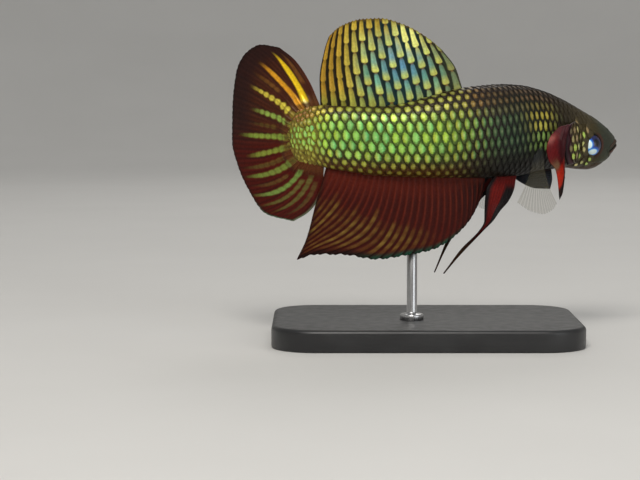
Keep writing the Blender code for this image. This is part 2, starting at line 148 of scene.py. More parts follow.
def steady_curve(points):
    """A function through the points, of arrays, whose slope never overshoots them."""
    x = np.array([point[0] for point in points], float)
    y = np.array([point[1:] for point in points], float)
    step = np.diff(x)
    rise = np.diff(y, axis=0) / step[:, None]
    slope = np.zeros_like(y)
    slope[0], slope[-1] = rise[0], rise[-1]
    ahead = (2 * step[1:] + step[:-1])[:, None]
    behind = (step[1:] + 2 * step[:-1])[:, None]
    same_way = rise[:-1] * rise[1:] > 0
    first, second = np.where(same_way, rise[:-1], 1), np.where(same_way, rise[1:], 1)
    mean = (ahead + behind) / (ahead / first + behind / second)
    slope[1:-1] = np.where(same_way, mean, 0)

    def value(at):
        at = np.asarray(at, float)
        i = np.clip(np.searchsorted(x, at) - 1, 0, len(step) - 1)
        h = step[i][..., None]
        t = (at - x[i])[..., None] / h
        found = (
            y[i] * (1 + 2 * t) * (1 - t) ** 2
            + slope[i] * h * t * (1 - t) ** 2
            + y[i + 1] * t * t * (3 - 2 * t)
            + slope[i + 1] * h * t * t * (t - 1)
        )
        return found if y.shape[1] > 1 else found[..., 0]

    return value


def running_total(steps):
    """The sum of the steps so far along the last direction, from 0 before the first."""
    return np.insert(np.cumsum(steps, axis=-1), 0, 0, axis=-1)


def line_through(points):
    """A curve through points in space, as a function of the share of its length from 0 to 1."""
    points = np.array(points, float)
    along = running_total(np.linalg.norm(np.diff(points, axis=0), axis=1))
    return steady_curve([(share, *point) for share, point in zip(along / along[-1], points)])


def smooth(x, low, high):
    """0 below low, 1 above high, and an easy slope between them."""
    t = np.clip((x - low) / (high - low), 0, 1)
    return t * t * (3 - 2 * t)


def fade(x, low, high):
    """1 below low, 0 above high, and an easy slope between them."""
    return 1 - smooth(x, low, high)


def mound(x, centre, width):
    """1 at the centre, with an easy fall to 0 on both sides, over about this width."""
    return np.exp(-(((x - centre) / width) ** 2))


def soft_limit(x, softness):
    """x where it is well above 0, and easing down to 0 below."""
    return softness * np.logaddexp(0, x / softness)


def unit(vectors):
    """The vectors, each made one long."""
    return vectors / np.maximum(np.linalg.norm(vectors, axis=-1, keepdims=True), 1e-12)


def drift(seed, *coordinates):
    """A smooth seeded variation from -1 to 1. Coordinates are given in wavelengths."""
    random = np.random.default_rng(seed)
    waves = 6
    total = 0.0
    for _ in range(waves):
        pace = random.uniform(-7, 7, len(coordinates))
        total = total + np.sin(sum(p * c for p, c in zip(pace, coordinates)) + random.uniform(0, 7))
    return total / waves


def colour(red, green, blue):
    """A display colour from 0 to 255, as linear light."""
    share = np.array([red, green, blue]) / 255
    return np.where(share <= 0.04045, share / 12.92, ((share + 0.055) / 1.055) ** 2.4)


def colours_along(points):
    """Colours as a smooth function of a number."""
    return steady_curve([(at, *colour(*rgb)) for at, rgb in points])


def blend(first, second, share):
    """From one colour to another, by an array of shares."""
    return first + (second - first) * np.asarray(share)[..., None]


def painted(tint, *coats):
    """A colour with other colours laid over it in turn, each with its share."""
    for shade, share in coats:
        tint = blend(tint, colour(*shade), share)
    return tint


# ---------------------------------------------------------------- the body's form

heading = steady_curve(HEADING)
back = steady_curve(BACK)
belly = steady_curve(BELLY)
half_width = steady_curve(HALF_WIDTH)
row_height = steady_curve(ROW_HEIGHT)
row_rise = steady_curve(ROW_RISE)
scale_spacing = steady_curve(SCALE_SPACING)


def trace_spine():
    """The backbone's x and y as a function of s."""
    middles = (np.arange(round(SPINE_END / SPINE_STEP)) + 0.5) * SPINE_STEP
    turn = np.radians(heading(middles))
    x = SNOUT[0] - running_total(np.cos(turn)) * SPINE_STEP
    y = SNOUT[1] - running_total(np.sin(turn)) * SPINE_STEP
    return steady_curve(list(zip(np.arange(len(x)) * SPINE_STEP, x, y)))


spine = trace_spine()


def place(s, side, z):
    """Points in space, from s, side and z."""
    s, side, z = np.broadcast_arrays(np.asarray(s, float), side, z)
    middle = spine(s)
    turn = np.radians(heading(s))
    x = middle[..., 0] - np.sin(turn) * side
    y = middle[..., 1] + np.cos(turn) * side
    return np.stack([x, y, z], axis=-1)


def hollow(s, z):
    """How far the side of the head is pressed in behind the raised gill covers."""
    reach = ((s - HOLLOW.s) / HOLLOW.length) ** 2 + ((z - HOLLOW.z) / HOLLOW.height) ** 2
    return HOLLOW.depth * np.maximum(0, 1 - reach) ** 2


def heights(s):
    """Height of the middle of the body, and half of the body's height."""
    return (back(s) + belly(s)) / 2, (back(s) - belly(s)) / 2


def rounded(share):
    """The body's outline in cross section: one of its half axes by the share of the other."""
    return (1 - np.minimum(share, 1) ** SECTION_POWER) ** (1 / SECTION_POWER)


def skin_side(s, z):
    """Distance of the skin from the middle plane at this height."""
    middle, half = heights(s)
    return half_width(s) * rounded(np.abs(z - middle) / half) - hollow(s, z)


def skin_height(s, side, upward):
    """Height of the skin of the back (upward 1) or belly (-1) at this distance from the middle plane."""
    middle, half = heights(s)
    return middle + upward * half * rounded(np.abs(side) / half_width(s))


def section_point(s, angle):
    """side and z of the body's surface, with the angle round the section from its top."""
    across, up = (np.sign(x) * np.abs(x) ** (2 / SECTION_POWER) for x in (np.sin(angle), np.cos(angle)))
    middle, half = heights(s)
    side, z = half_width(s) * across, middle + half * up
    return side - np.sign(side) * np.minimum(hollow(s, z), np.abs(side)), z


def grid_normals(points):
    """Unit normals of a grid of points, along its first direction crossed with its second."""
    return unit(np.cross(np.gradient(points, axis=0), np.gradient(points, axis=1)))


def sample_grid(grid, i, j):
    """Values of a grid at fractional indices."""
    i = np.clip(i, 0, grid.shape[0] - 1.001)
    j = np.clip(j, 0, grid.shape[1] - 1.001)
    low_i, low_j = i.astype(int), j.astype(int)
    a, b = (i - low_i)[..., None], (j - low_j)[..., None]
    near = grid[low_i, low_j] * (1 - b) + grid[low_i, low_j + 1] * b
    far = grid[low_i + 1, low_j] * (1 - b) + grid[low_i + 1, low_j + 1] * b
    return near * (1 - a) + far * a


def row_above(s, arc):
    """The row that lies this far above half height, measured round the section."""
    steps = (arc - row_rise(np.maximum(s, ROW_RISE[0][0]))) / row_height(s)
    root = np.sqrt(np.maximum(1 - 4 * ROW_SQUEEZE * np.abs(steps), 0.01))
    return np.sign(steps) * (1 - root) / (2 * ROW_SQUEEZE)


class Flank:
    """One side of the body, read by s and by the row of scales, with row 0 on the middle of the side."""

    STEP = 0.1  # of s
    ROWS_A_STEP = 0.05

    def __init__(self, sign):
        self.s = np.arange(0.1, BODY_END + 2, self.STEP)
        s, on_body = self.s[:, None], np.minimum(self.s, BODY_END)[:, None]
        angles = np.linspace(0, math.pi, 361)
        side, z = section_point(on_body, angles[None, :])
        arc = running_total(np.hypot(np.diff(side, axis=1), np.diff(z, axis=1)))
        above = row_above(s, arc[:, [len(angles) // 2]] - arc)
        self.top, self.bottom = above[:, 0], above[:, -1]
        rows = np.arange(-MOST_ROWS, MOST_ROWS, self.ROWS_A_STEP)
        angle = np.array([np.interp(rows, line[::-1], angles[::-1]) for line in above])
        side, z = section_point(on_body, angle)
        self.points = place(s, sign * side, z)
        normals = grid_normals(self.points)
        outward = place(s, sign * (side + 1), z) - self.points
        facing = np.sign((normals * outward).sum(axis=-1, keepdims=True))
        self.normals = unit(np.where(facing == 0, 1, facing) * normals)

    def limits(self, s):
        """The rows at the middle of the belly and at the middle of the back."""
        return np.interp(s, self.s, self.bottom), np.interp(s, self.s, self.top)

    def at(self, s, row):
        """Points and outward normals. Rows past the middle of the back or belly stop short of it."""
        low, high = self.limits(s)
        row = high - soft_limit(high - row, 0.15)
        row = low + soft_limit(row - low, 0.15)
        i, j = (s - self.s[0]) / self.STEP, (row + MOST_ROWS) / self.ROWS_A_STEP
        return sample_grid(self.points, i, j), unit(sample_grid(self.normals, i, j))


# ---------------------------------------------------------------- making pieces


def quads(index):
    """Faces of a grid of point numbers, facing along its first direction crossed with its second."""
    faces = [index[:-1, :-1], index[1:, :-1], index[1:, 1:], index[:-1, 1:]]
    return np.stack(faces, axis=-1).reshape(-1, 4)


def ring_grid(rings, around):
    """Point numbers of rings laid one after another, with the first of each repeated at its end."""
    index = np.arange(rings * around).reshape(rings, around)
    return np.concatenate([index, index[:, :1]], axis=1)


def cap(ring, middle, edge, pole):
    """Faces and uv of a fan of quads from a ring to the point in its middle."""
    i = np.arange(0, len(ring) - 1, 2)
    faces = np.stack([0 * i + middle, ring[i], ring[i + 1], ring[i + 2]], axis=-1)
    v = (i[:, None] + [1, 0, 1, 2]) / (len(ring) - 1)
    return faces, np.stack([np.broadcast_to([pole, edge, edge, edge], v.shape), v], axis=-1)


def tube(rings, inside_out=False):
    """Points, faces and uv of a closed form made of rings of points, capped at both ends.

    The rings run so that the outside is on the left of their way round, seen with the next ring
    ahead, or on the right where inside_out is set.
    """
    count, around, _ = rings.shape
    index = ring_grid(count, around)
    lengthwise, crosswise = np.linspace(CAP_SHARE, 1 - CAP_SHARE, count), np.linspace(0, 1, around + 1)
    grid = np.meshgrid(lengthwise, crosswise, indexing="ij")
    uv_grid = np.stack(grid, axis=-1).reshape(-1, 2)
    near, near_uv = cap(index[0], count * around, CAP_SHARE, 0)
    far, far_uv = cap(index[-1], count * around + 1, 1 - CAP_SHARE, 1)
    side_uv = uv_grid[quads(np.arange(len(uv_grid)).reshape(count, -1))]
    faces = np.concatenate([quads(index), near, far[:, ::-1]])
    corners = np.concatenate([side_uv, near_uv, far_uv[:, ::-1]])
    if inside_out:
        faces, corners = faces[:, ::-1], corners[:, ::-1]
    return ring_values(rings), faces, corners.reshape(-1, 2)


def ring_values(value):
    """Values of rings of points, with the means of the first and the last ring for their middles."""
    flat = value.reshape(value.shape[0] * value.shape[1], *value.shape[2:])
    return np.concatenate([flat, value[:1].mean(axis=1), value[-1:].mean(axis=1)])


def add_piece(name, points, faces, uv, values, material, replaced):
    """A mesh piece that rides on the model.

    uv has a pair for each corner of each face. values holds arrays by the name of their attribute.
    """
    mesh = bpy.data.meshes.new(name)
    mesh.vertices.add(len(points))
    mesh.vertices.foreach_set("co", ((points + ORIGIN) * MM).astype(np.float32).ravel())
    mesh.loops.add(faces.size)
    mesh.loops.foreach_set("vertex_index", faces.astype(np.int32).ravel())
    mesh.polygons.add(len(faces))
    mesh.polygons.foreach_set("loop_start", np.arange(0, faces.size, 4, dtype=np.int32))
    mesh.polygons.foreach_set("loop_total", np.full(len(faces), 4, np.int32))
    mesh.update(calc_edges=True)
    mesh.shade_smooth()
    layer = mesh.uv_layers.new(name="OFBake")
    layer.uv.foreach_set("vector", uv.astype(np.float32).ravel())
    for key, value in values.items():
        kind, field = "FLOAT", "value"
        if value.ndim == 2:
            kind, field = "FLOAT_COLOR", "color"
            value = np.insert(np.clip(value, 0, 1), 3, 1, axis=1)
        attribute = mesh.attributes.new(key, kind, "POINT")
        attribute.data.foreach_set(field, value.astype(np.float32).ravel())
    mesh.validate()
    mesh.materials.append(material)
    piece = bpy.data.objects.new(name, mesh)
    bpy.context.scene.collection.objects.link(piece)
    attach(piece, "root")
    if replaced:
        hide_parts(*replaced)


def closed_leaves(front, rear, patches, flip=False):
    """Points, faces and uv of thin closed leaves, each made of two grids that share their rim.

    front and rear are (leaf, row, column, 3). patches are the low corner and size of each leaf's
    patch of the unwrap: the front takes its lower part, and the rear its upper part.
    """
    leaves, rows, columns, _ = front.shape
    near = np.arange(rows * columns).reshape(rows, columns)
    far = near.copy()
    far[1:-1, 1:-1] = rows * columns + np.arange((rows - 2) * (columns - 2)).reshape(rows - 2, -1)
    along, up = np.meshgrid(np.linspace(0, 1, rows), np.linspace(0, 1, columns), indexing="ij")
    faces, corners = [], []
    for index, turn, lift, high in ((near, 1, 0, 0.62), (far, -1, 0.66, 0.32)):
        order = slice(None, None, -turn if flip else turn)
        faces.append(quads(index)[:, order])
        corners.append(np.stack([along, lift + high * up], axis=-1).reshape(-1, 2)[quads(near)[:, order]])
    faces = np.concatenate(faces) + (far.max() + 1) * np.arange(leaves)[:, None, None]
    low, size = patches
    uv = low[:, None, None] + np.concatenate(corners) * size[:, None, None]
    return gather_leaves(front, rear), faces.reshape(-1, 4), uv.reshape(-1, 2)


def gather_leaves(front, rear):
    """Values of the two grids of each leaf, in the order of its points."""
    leaves = front.shape[0]
    tail = front.shape[3:]
    near = front.reshape(leaves, -1, *tail)
    far = rear[:, 1:-1, 1:-1].reshape(leaves, -1, *tail)
    return np.concatenate([near, far], axis=1).reshape(-1, *tail)


# ---------------------------------------------------------------- materials


class Look:
    """A material with a Principled shader, and short calls for the nodes that feed it."""

    def __init__(self, name, **values):
        self.material = bpy.data.materials.new(name)
        self.material.use_nodes = True
        self.tree = self.material.node_tree
        self.shader = self.tree.nodes["Principled BSDF"]
        for key, value in values.items():
            self.shader.inputs[key.replace("_", " ")].default_value = value
        self.coordinates = self.node("ShaderNodeTexCoord").outputs["Object"]

    def node(self, kind, inputs=(), **settings):
        """A new node with these inputs, each a value or another node's output."""
        node = self.tree.nodes.new(kind)
        for key, value in settings.items():
            setattr(node, key, value)
        for key, value in dict(inputs).items():
            if isinstance(value, bpy.types.NodeSocket):
                self.tree.links.new(value, node.inputs[key])
            else:
                node.inputs[key].default_value = value
        return node

    def feed(self, key, socket):
        """Link an output to one of the shader's inputs."""
        self.tree.links.new(socket, self.shader.inputs[key])

    def colour_of(self, name):
        """A colour that the mesh holds under this name."""
        return self.node("ShaderNodeAttribute", attribute_name=name).outputs["Color"]

    def value_of(self, name):
        """A number that the mesh holds under this name."""
        return self.node("ShaderNodeAttribute", attribute_name=name).outputs["Fac"]

    def noise(self, size, detail=2.0):
        """A noise from 0 to 1 whose lumps are about this many millimetres."""
        inputs = {"Vector": self.coordinates, "Scale": 1 / (size * MM), "Detail": detail}
        return self.node("ShaderNodeTexNoise", inputs).outputs["Fac"]

    def calculate(self, operation, first, second=0.0):
        """The result of a Math node."""
        return self.node("ShaderNodeMath", {0: first, 1: second}, operation=operation).outputs[0]

    def ranged(self, value, low, high, start, end):
        """The value's range from low to high, eased onto the range from start to end."""
        inputs = {0: value, 1: low, 2: high, 3: start, 4: end}
        ranged = self.node("ShaderNodeMapRange", inputs, interpolation_type="SMOOTHSTEP")
        return ranged.outputs[0]

    def mixed(self, share, first, second):
        """A colour between two others."""
        inputs = {0: share, 6: first, 7: second}
        return self.node("ShaderNodeMix", inputs, data_type="RGBA", blend_type="MIX").outputs[2]

    def mottled(self, base, size, depth):
        """A colour that noise darkens by up to this depth."""
        share = self.ranged(self.noise(size, 3.0), 0.3, 0.7, 0.0, depth)
        return self.mixed(share, base, (0.0, 0.0, 0.0, 1.0))

    def bump(self, height, distance):
        """Relief from a height of 0 to 1, this many millimetres deep."""
        inputs = {"Height": height, "Distance": distance * MM, "Strength": 1.0}
        self.feed("Normal", self.node("ShaderNodeBump", inputs).outputs[0])


def living_look(name, roughness, gleam_roughness, metallic, bump_size, bump_height, **values):
    """Moist skin or fin: its colour and gleam come from the mesh, with fine mottling and bump."""
    look = Look(name, Specular_IOR_Level=0.07, **values)
    gleam = look.value_of("gleam")
    look.feed("Base Color", look.mottled(look.colour_of("tint"), 2.5 * bump_size, 0.22))
    look.feed("Metallic", look.calculate("MULTIPLY", gleam, metallic))
    rough = look.ranged(gleam, 0.0, 1.0, roughness, gleam_roughness)
    rough = look.calculate("ADD", rough, look.ranged(look.noise(3 * bump_size), 0.3, 0.7, -0.05, 0.08))
    look.feed("Roughness", rough)
    look.bump(look.noise(bump_size, 4.0), bump_height)
    return look


# ---------------------------------------------------------------- markings of the body

GROUND = colours_along([
    (0, (58, 62, 50)), (3.5, (64, 64, 48)), (6, (69, 61, 40)), (10, (58, 50, 33)), (14, (40, 32, 21)),
    (19, (34, 36, 26)), (24, (48, 38, 24)), (31, (64, 44, 24)), (40, (72, 54, 26)), (49, (92, 56, 28)),
])
GLEAM_MIDDLE = colours_along([
    (0, (60, 70, 60)), (12, (110, 120, 46)), (14.5, (150, 150, 56)), (17, (110, 112, 56)),
    (19, (58, 90, 60)), (22, (70, 110, 64)), (24, (96, 150, 72)), (26, (130, 166, 60)),
    (30, (162, 208, 80)), (35, (152, 228, 102)), (40, (152, 232, 104)), (43.5, (178, 230, 80)),
    (45.5, (176, 228, 86)), (49, (172, 214, 82)),
])
GLEAM_UPPER = colours_along([
    (0, (60, 60, 46)), (12, (90, 66, 44)), (17, (126, 90, 58)), (22, (120, 92, 50)),
    (24.5, (142, 106, 50)), (26, (150, 144, 54)), (32, (154, 158, 64)), (40, (150, 160, 54)),
    (44, (170, 160, 50)), (49, (180, 130, 58)),
])
GLEAM_LOWER = colours_along([
    (0, (60, 60, 46)), (12, (56, 54, 34)), (18, (54, 64, 44)), (22, (66, 80, 48)), (27, (140, 138, 60)),
    (34, (190, 184, 62)), (40, (196, 202, 70)), (49, (180, 168, 64)),
])
MINT = (110, 216, 132)
LIME = (178, 218, 50)
GOLD = (208, 190, 66)
SPRING = (196, 244, 130)
RUST = (160, 104, 50)
WARM_SIDE = (196, 176, 56)
COOL_SIDE = (36, 150, 96)
CHEEK_SPOTS = [(230, 232, 142), (216, 204, 130), (186, 158, 112), (190, 222, 100)]
CHEEK_SHARES = [0.3, 0.3, 0.2, 0.2]


def off_row(row, first, last):
    """From 0 to 1 as the row goes from first to last, counted from the middle of the side."""
    return smooth(row * np.sign(last), first * np.sign(last), abs(last))


def ground_colour(s, row):
    """The dark ground between the scales' bright spots, and of the bare skin, with painted shade under the
    breast and belly.
    """
    return painted(
        GROUND(s),
        ((46, 34, 26), 0.75 * off_row(row, 2.5, 4.5) * smooth(s, 5, 9)),
        ((26, 36, 28), 0.8 * mound(s, 19.5, 4) * mound(row, -1, 2.5)),
        ((98, 136, 54), 0.75 * mound(row, 0, 2.0) * smooth(s, 24, 29)),
        ((104, 66, 26), 0.75 * off_row(row, -2.2, -4.0) * smooth(s, 24, 30)),
        ((146, 132, 46), 0.8 * smooth(s, 43.3, 46)),
        # painted shade: the lower rows, from behind the gill covers to the anal fin, darkened to near black
        ((22, 18, 16), 0.8 * off_row(row, -1.5, -4) * smooth(s, 9, 13) * fade(s, 20, 26)),
    )


def gleam_colour(s, row, hue):
    """The bright spot in the middle of a scale. hue turns it towards mint or lime."""
    rear = 0.7 * smooth(s, 24, 30)
    middle = painted(GLEAM_MIDDLE(s), (MINT, rear * np.clip(hue, 0, 1)), (LIME, rear * np.clip(-hue, 0, 1)))
    gleam = blend(middle, GLEAM_UPPER(s), off_row(row, 0.9, 3.0))
    return painted(
        blend(gleam, GLEAM_LOWER(s), off_row(row, -1.2, -3.2)),
        (GOLD, np.minimum(1.6 * mound(s, 15.9, 2.2) * mound(row, 0.7, 1.0), 1)),
        (SPRING, np.minimum(1.8 * mound(s, 14.9, 2.2) * mound(row, -1.6, 1.0), 1)),
        (RUST, smooth(s, 44.5, 47) * off_row(row, 1.4, 3.0)),
    )


def gleam_strength(s, row, low, high):
    """How much a scale shines, from 0 to 1. low and high are the rows where its side ends."""
    front = fade(s, 22.6, 26.5)
    strength = (1 - 0.5 * front) * smooth(s, 11, 13.5)
    strength = strength * (1 - off_row(row, -1.2, -4.0) * (0.4 + 0.5 * front))
    strength = strength * (1 - 0.4 * off_row(row, 3.0, 4.5) * front)
    strength = strength * smooth(row - low, 0.3, 1.3) * smooth(high - row, 0.25, 0.85)
    gold = 1.4 * mound(s, 15.9, 2.0) * mound(row, 0.6, 1.1)
    spring = 1.4 * mound(s, 14.8, 1.7) * mound(row, -1.5, 0.9)
    return np.clip(np.maximum(strength, np.maximum(gold, spring)), 0, 1)


# ---------------------------------------------------------------- skin


def eye_axes(sign):
    """Centre of an eye, and its forward and outward directions."""
    s, side, z = EYE_PLACE
    turn = math.radians(float(heading(s)))
    forward = np.array([math.cos(turn), math.sin(turn), 0.0])
    outward = sign * np.array([-math.sin(turn), math.cos(turn), 0.0])
    return place(s, sign * side, z), forward, outward


def bare(s, z):
    """1 where no scales of the flank grow: snout, eyes, cheeks, throat and under the gill covers."""
    snout = fade(s + 0.35 * (z - 12.5), 3.2, 3.9)
    eye = fade(np.hypot(s - EYE_PLACE[0], z - EYE_PLACE[2]), 1.75, 2.0)
    gill = smooth(hollow(s, z), 0.12, 0.2) * smooth(s, 8.6, 9.2)
    throat = fade(z, 9.8, 10.3) * fade(s, 8.5, 10.0)
    cheek = fade(s, 8.4, 9.2) * fade(np.abs(z - 12.4), 3.0, 3.5)
    covered = fade(np.abs(s - 11), 1.6, 2.0) * fade(np.abs(z - 12.9), 2.5, 2.9)
    return np.max(np.broadcast_arrays(snout, eye, gill, throat, cheek, covered), axis=0)


def mouth_distances(points):
    """How far points lie above the cleft of the mouth, and ahead of its corner."""
    (corner_s, corner_z), (front_s, front_z) = MOUTH_CORNER, MOUTH_FRONT
    corner = place(corner_s, 0.0, corner_z)
    along = unit(place(front_s, 0.0, front_z) - corner)
    upward = unit(np.cross(along, place(corner_s, 1.0, corner_z) - corner))
    return (points - corner) @ upward, (points - corner) @ along


def mouth_relief(above, ahead, s):
    """The cleft between the lips, the grooves along them and the fold behind the corner."""
    lips = mound(above, 0.26, 0.15) + 0.9 * mound(above, -0.27, 0.17)
    fold = mound(ahead + 0.25 * above, -0.32, 0.1) * smooth(above, -1.3, -0.8) * fade(above, 0.5, 0.9)
    return (
        -0.36 * mound(above, 0, 0.085) * smooth(ahead, -0.1, 0.15)
        + 0.11 * lips * smooth(ahead, -0.2, 0.4) * (1 - 0.8 * fade(s, 0.1, 0.5))
        - 0.1 * mound(above, 0.62, 0.11) * smooth(ahead, -0.3, 0.3)
        - 0.08 * mound(above, -0.68, 0.12) * smooth(ahead, -0.2, 0.5)
        - 0.12 * fold
    )


def nostril_relief(points, sign):
    """A nostril with its rim, and a pore behind it."""
    s = NOSTRIL[0]
    across, up = section_point(np.array(s), np.array(sign * NOSTRIL[1]))
    reach = np.linalg.norm(points - place(s, across, up), axis=-1)
    pore = np.linalg.norm(points - place(s + 0.75, across * 1.12, up + 0.38), axis=-1)
    return 0.07 * mound(reach, 0.25, 0.09) - 0.3 * mound(reach, 0, 0.13) - 0.14 * mound(pore, 0, 0.09)


def skin_relief(points, s, side, z):
    """Height of the head's relief along the skin's normal."""
    above, ahead = mouth_distances(points)
    chin = mound(s, 1.7, 1.1) * fade(z, 10.6, 11.4)
    cheek = np.hypot((s - 5.3) / 2.75, (z - 12.5) / 2.6)
    behind = smooth(s - 0.5 * (z - 12.5), 4.5, 6.5)
    jaw_groove = mound(z - 10.15 + 0.16 * (s - 2.5), 0, 0.12) * smooth(s, 2.2, 3.0) * fade(s, 7, 8)
    throat_groove = mound(side, 0, 0.2) * fade(z, 10.0, 11.0) * mound(s, 5, 3)
    combs = smooth(hollow(s, z), 0.15, 0.35) * np.sin(2 * math.pi * z / COMB_PITCH)
    return (
        mouth_relief(above, ahead, s)
        + nostril_relief(points, 1)
        + nostril_relief(points, -1)
        + 0.16 * chin
        + (0.05 * mound(cheek, 0.9, 0.06) - 0.1 * mound(cheek, 1, 0.035)) * behind
        - 0.1 * (jaw_groove + throat_groove)
        + 0.05 * combs
    )


def sink_sockets(points):
    """Presses a surface in round each eye, to a soft rim at the eyeball."""
    bowl = steady_curve([(0, 0.0), (1.32, 0.0), (1.42, 0.34), (1.56, 0.44), (1.8, 0.5), (2.2, 0.8), (3, 2)])
    for sign in (1, -1):
        centre, forward, outward = eye_axes(sign)
        offset = points - centre
        depth = offset @ outward
        reach = np.hypot(offset @ forward, offset[..., 2])
        near = (reach < 3) & (depth > -1.2)
        target = bowl(np.minimum(reach, 3))
        lower = target - soft_limit(target - depth, 0.05)
        points = points + np.where(near, np.minimum(lower - depth, 0), 0)[..., None] * outward
    return points


def skin_colour(points, s, row, side, z):
    """Ground colour, with redder lips, a brownish throat, dark gills and the rims of the eyes, and painted
    shade in the cleft of the mouth and in the groove round each eyeball.
    """
    above, ahead = mouth_distances(points)
    gill = smooth(hollow(s, z), 0.06, 0.2) * smooth(s, 8.8, 9.6)
    combs = colour(40, 10, 10) * (1 + 0.5 * np.sin(2 * math.pi * z / COMB_PITCH))[..., None]
    reach = np.hypot(s - EYE_PLACE[0], z - EYE_PLACE[2])
    tint = painted(ground_colour(s, row), ((58, 62, 54), 0.7 * fade(s, 3.4, 5.2) * smooth(z, 10.5, 11.5)))
    tint = painted(
        tint * (1 + 0.16 * drift(11, s / 3, row / 3, side / 3))[..., None],
        # painted shade along the cleft between the lips
        ((24, 12, 14), 0.85 * mound(above, 0, 0.12) * smooth(ahead, -0.2, 0.2)),
        ((110, 38, 32), 0.6 * mound(above, -0.45, 0.22) * smooth(ahead, -0.2, 0.4)),
        ((92, 44, 40), 0.35 * mound(above, 0.45, 0.2) * smooth(ahead, 0.2, 0.8)),
        ((86, 62, 52), 0.55 * fade(z, 9.4, 10.4) * smooth(s, 2.5, 4) * fade(s, 10, 12)),
    )
    return painted(
        blend(tint, combs, gill),
        # painted shade in the groove where the skin meets the eyeball
        ((24, 24, 26), 0.75 * mound(reach, 1.5, 0.2)),
        ((96, 34, 34), 0.5 * mound(reach, 1.75, 0.16) * fade(s, 4.4, 5.4)),
    )


def make_skin():
    """One skin from the lips to the root of the tail fin."""
    lips, head = np.linspace(0.02, 0.6, 16), np.arange(0.66, 11.4, 0.075)
    stations = np.concatenate([lips, head, np.arange(11.5, BODY_END, 0.2), [BODY_END]])
    angle = np.arange(SKIN_AROUND) * 2 * math.pi / SKIN_AROUND
    s, angle = np.meshgrid(stations, angle, indexing="ij")
    side, z = section_point(s, angle)
    points = place(s, side, z)
    wrapped = np.concatenate([points[:, -1:], points, points[:, :1]], axis=1)
    normals = -grid_normals(wrapped)[:, 1:-1]
    steps = np.hypot(np.diff(side, axis=1, append=side[:, :1]), np.diff(z, axis=1, append=z[:, :1]))
    arc = running_total(steps)[:, :-1]
    arc = np.minimum(arc, arc.max(axis=1, keepdims=True) - arc)
    row = row_above(s, arc[:, [SKIN_AROUND // 4]] - arc)
    sunk = COAT_DEPTH * (1 - bare(s, z)) * smooth(s, 3, 5)
    points = points - normals * sunk[..., None]
    points = sink_sockets(points + normals * skin_relief(points, s, side, z)[..., None])
    tint = ring_values(skin_colour(points, s, row, side, z))
    points, faces, uv = tube(points, inside_out=True)
    look = living_look(
        "moist_skin", 0.42, 0.35, 0.2, 0.16, 0.02,
        Coat_Weight=0.12, Coat_Roughness=0.2, Subsurface_Weight=0.08, Subsurface_Scale=0.0006,
    )
    values = {"tint": tint, "gleam": np.full(len(tint), 0.15)}
    nodes = ("head", "lower_jaw", "trunk", "tail_stalk")
    add_piece("skin", points, faces, uv, values, look.material, nodes)


# ---------------------------------------------------------------- scales


def leaf_outline():
    """A scale's outline from a square grid: round behind, squarer in front, each way from -1 to 1."""
    steps = np.linspace(-1, 1, LEAF_STEPS)
    p, q = np.meshgrid(steps, steps, indexing="ij")
    rounding = np.where(p > 0, 0.5, 0.5 - 0.25 * np.abs(p))
    return p * np.sqrt(1 - rounding * q * q), q * np.sqrt(1 - rounding * p * p), p, q


def count_columns():
    """s in small steps, and how many columns of scales come before each."""
    step = 0.05
    s = np.arange(0, BODY_END + 1.5, step)
    return s, running_total(step / scale_spacing(s[:-1] + step / 2))


def scale_places(flank):
    """s and row of the place of each scale of one side, and its column."""
    s, count = count_columns()
    rows, columns = np.meshgrid(np.arange(-MOST_ROWS, MOST_ROWS + 1), np.arange(int(count[-1])))
    row = rows.ravel().astype(float)
    column = columns.ravel() + 0.5 * (row % 2)
    middle = np.interp(column + COLUMN_LEAN * row, count, s)
    low, high = flank.limits(middle)
    z = flank.at(middle, row)[0][..., 2]
    kept = (middle < BODY_END) & (row > low + 0.35) & (row < high - 0.3)
    kept &= bare(middle, z) < 0.5
    kept &= np.hypot(middle - EYE_PLACE[0], z - EYE_PLACE[2]) > EYE_CLEARING
    return middle[kept], row[kept], column[kept]


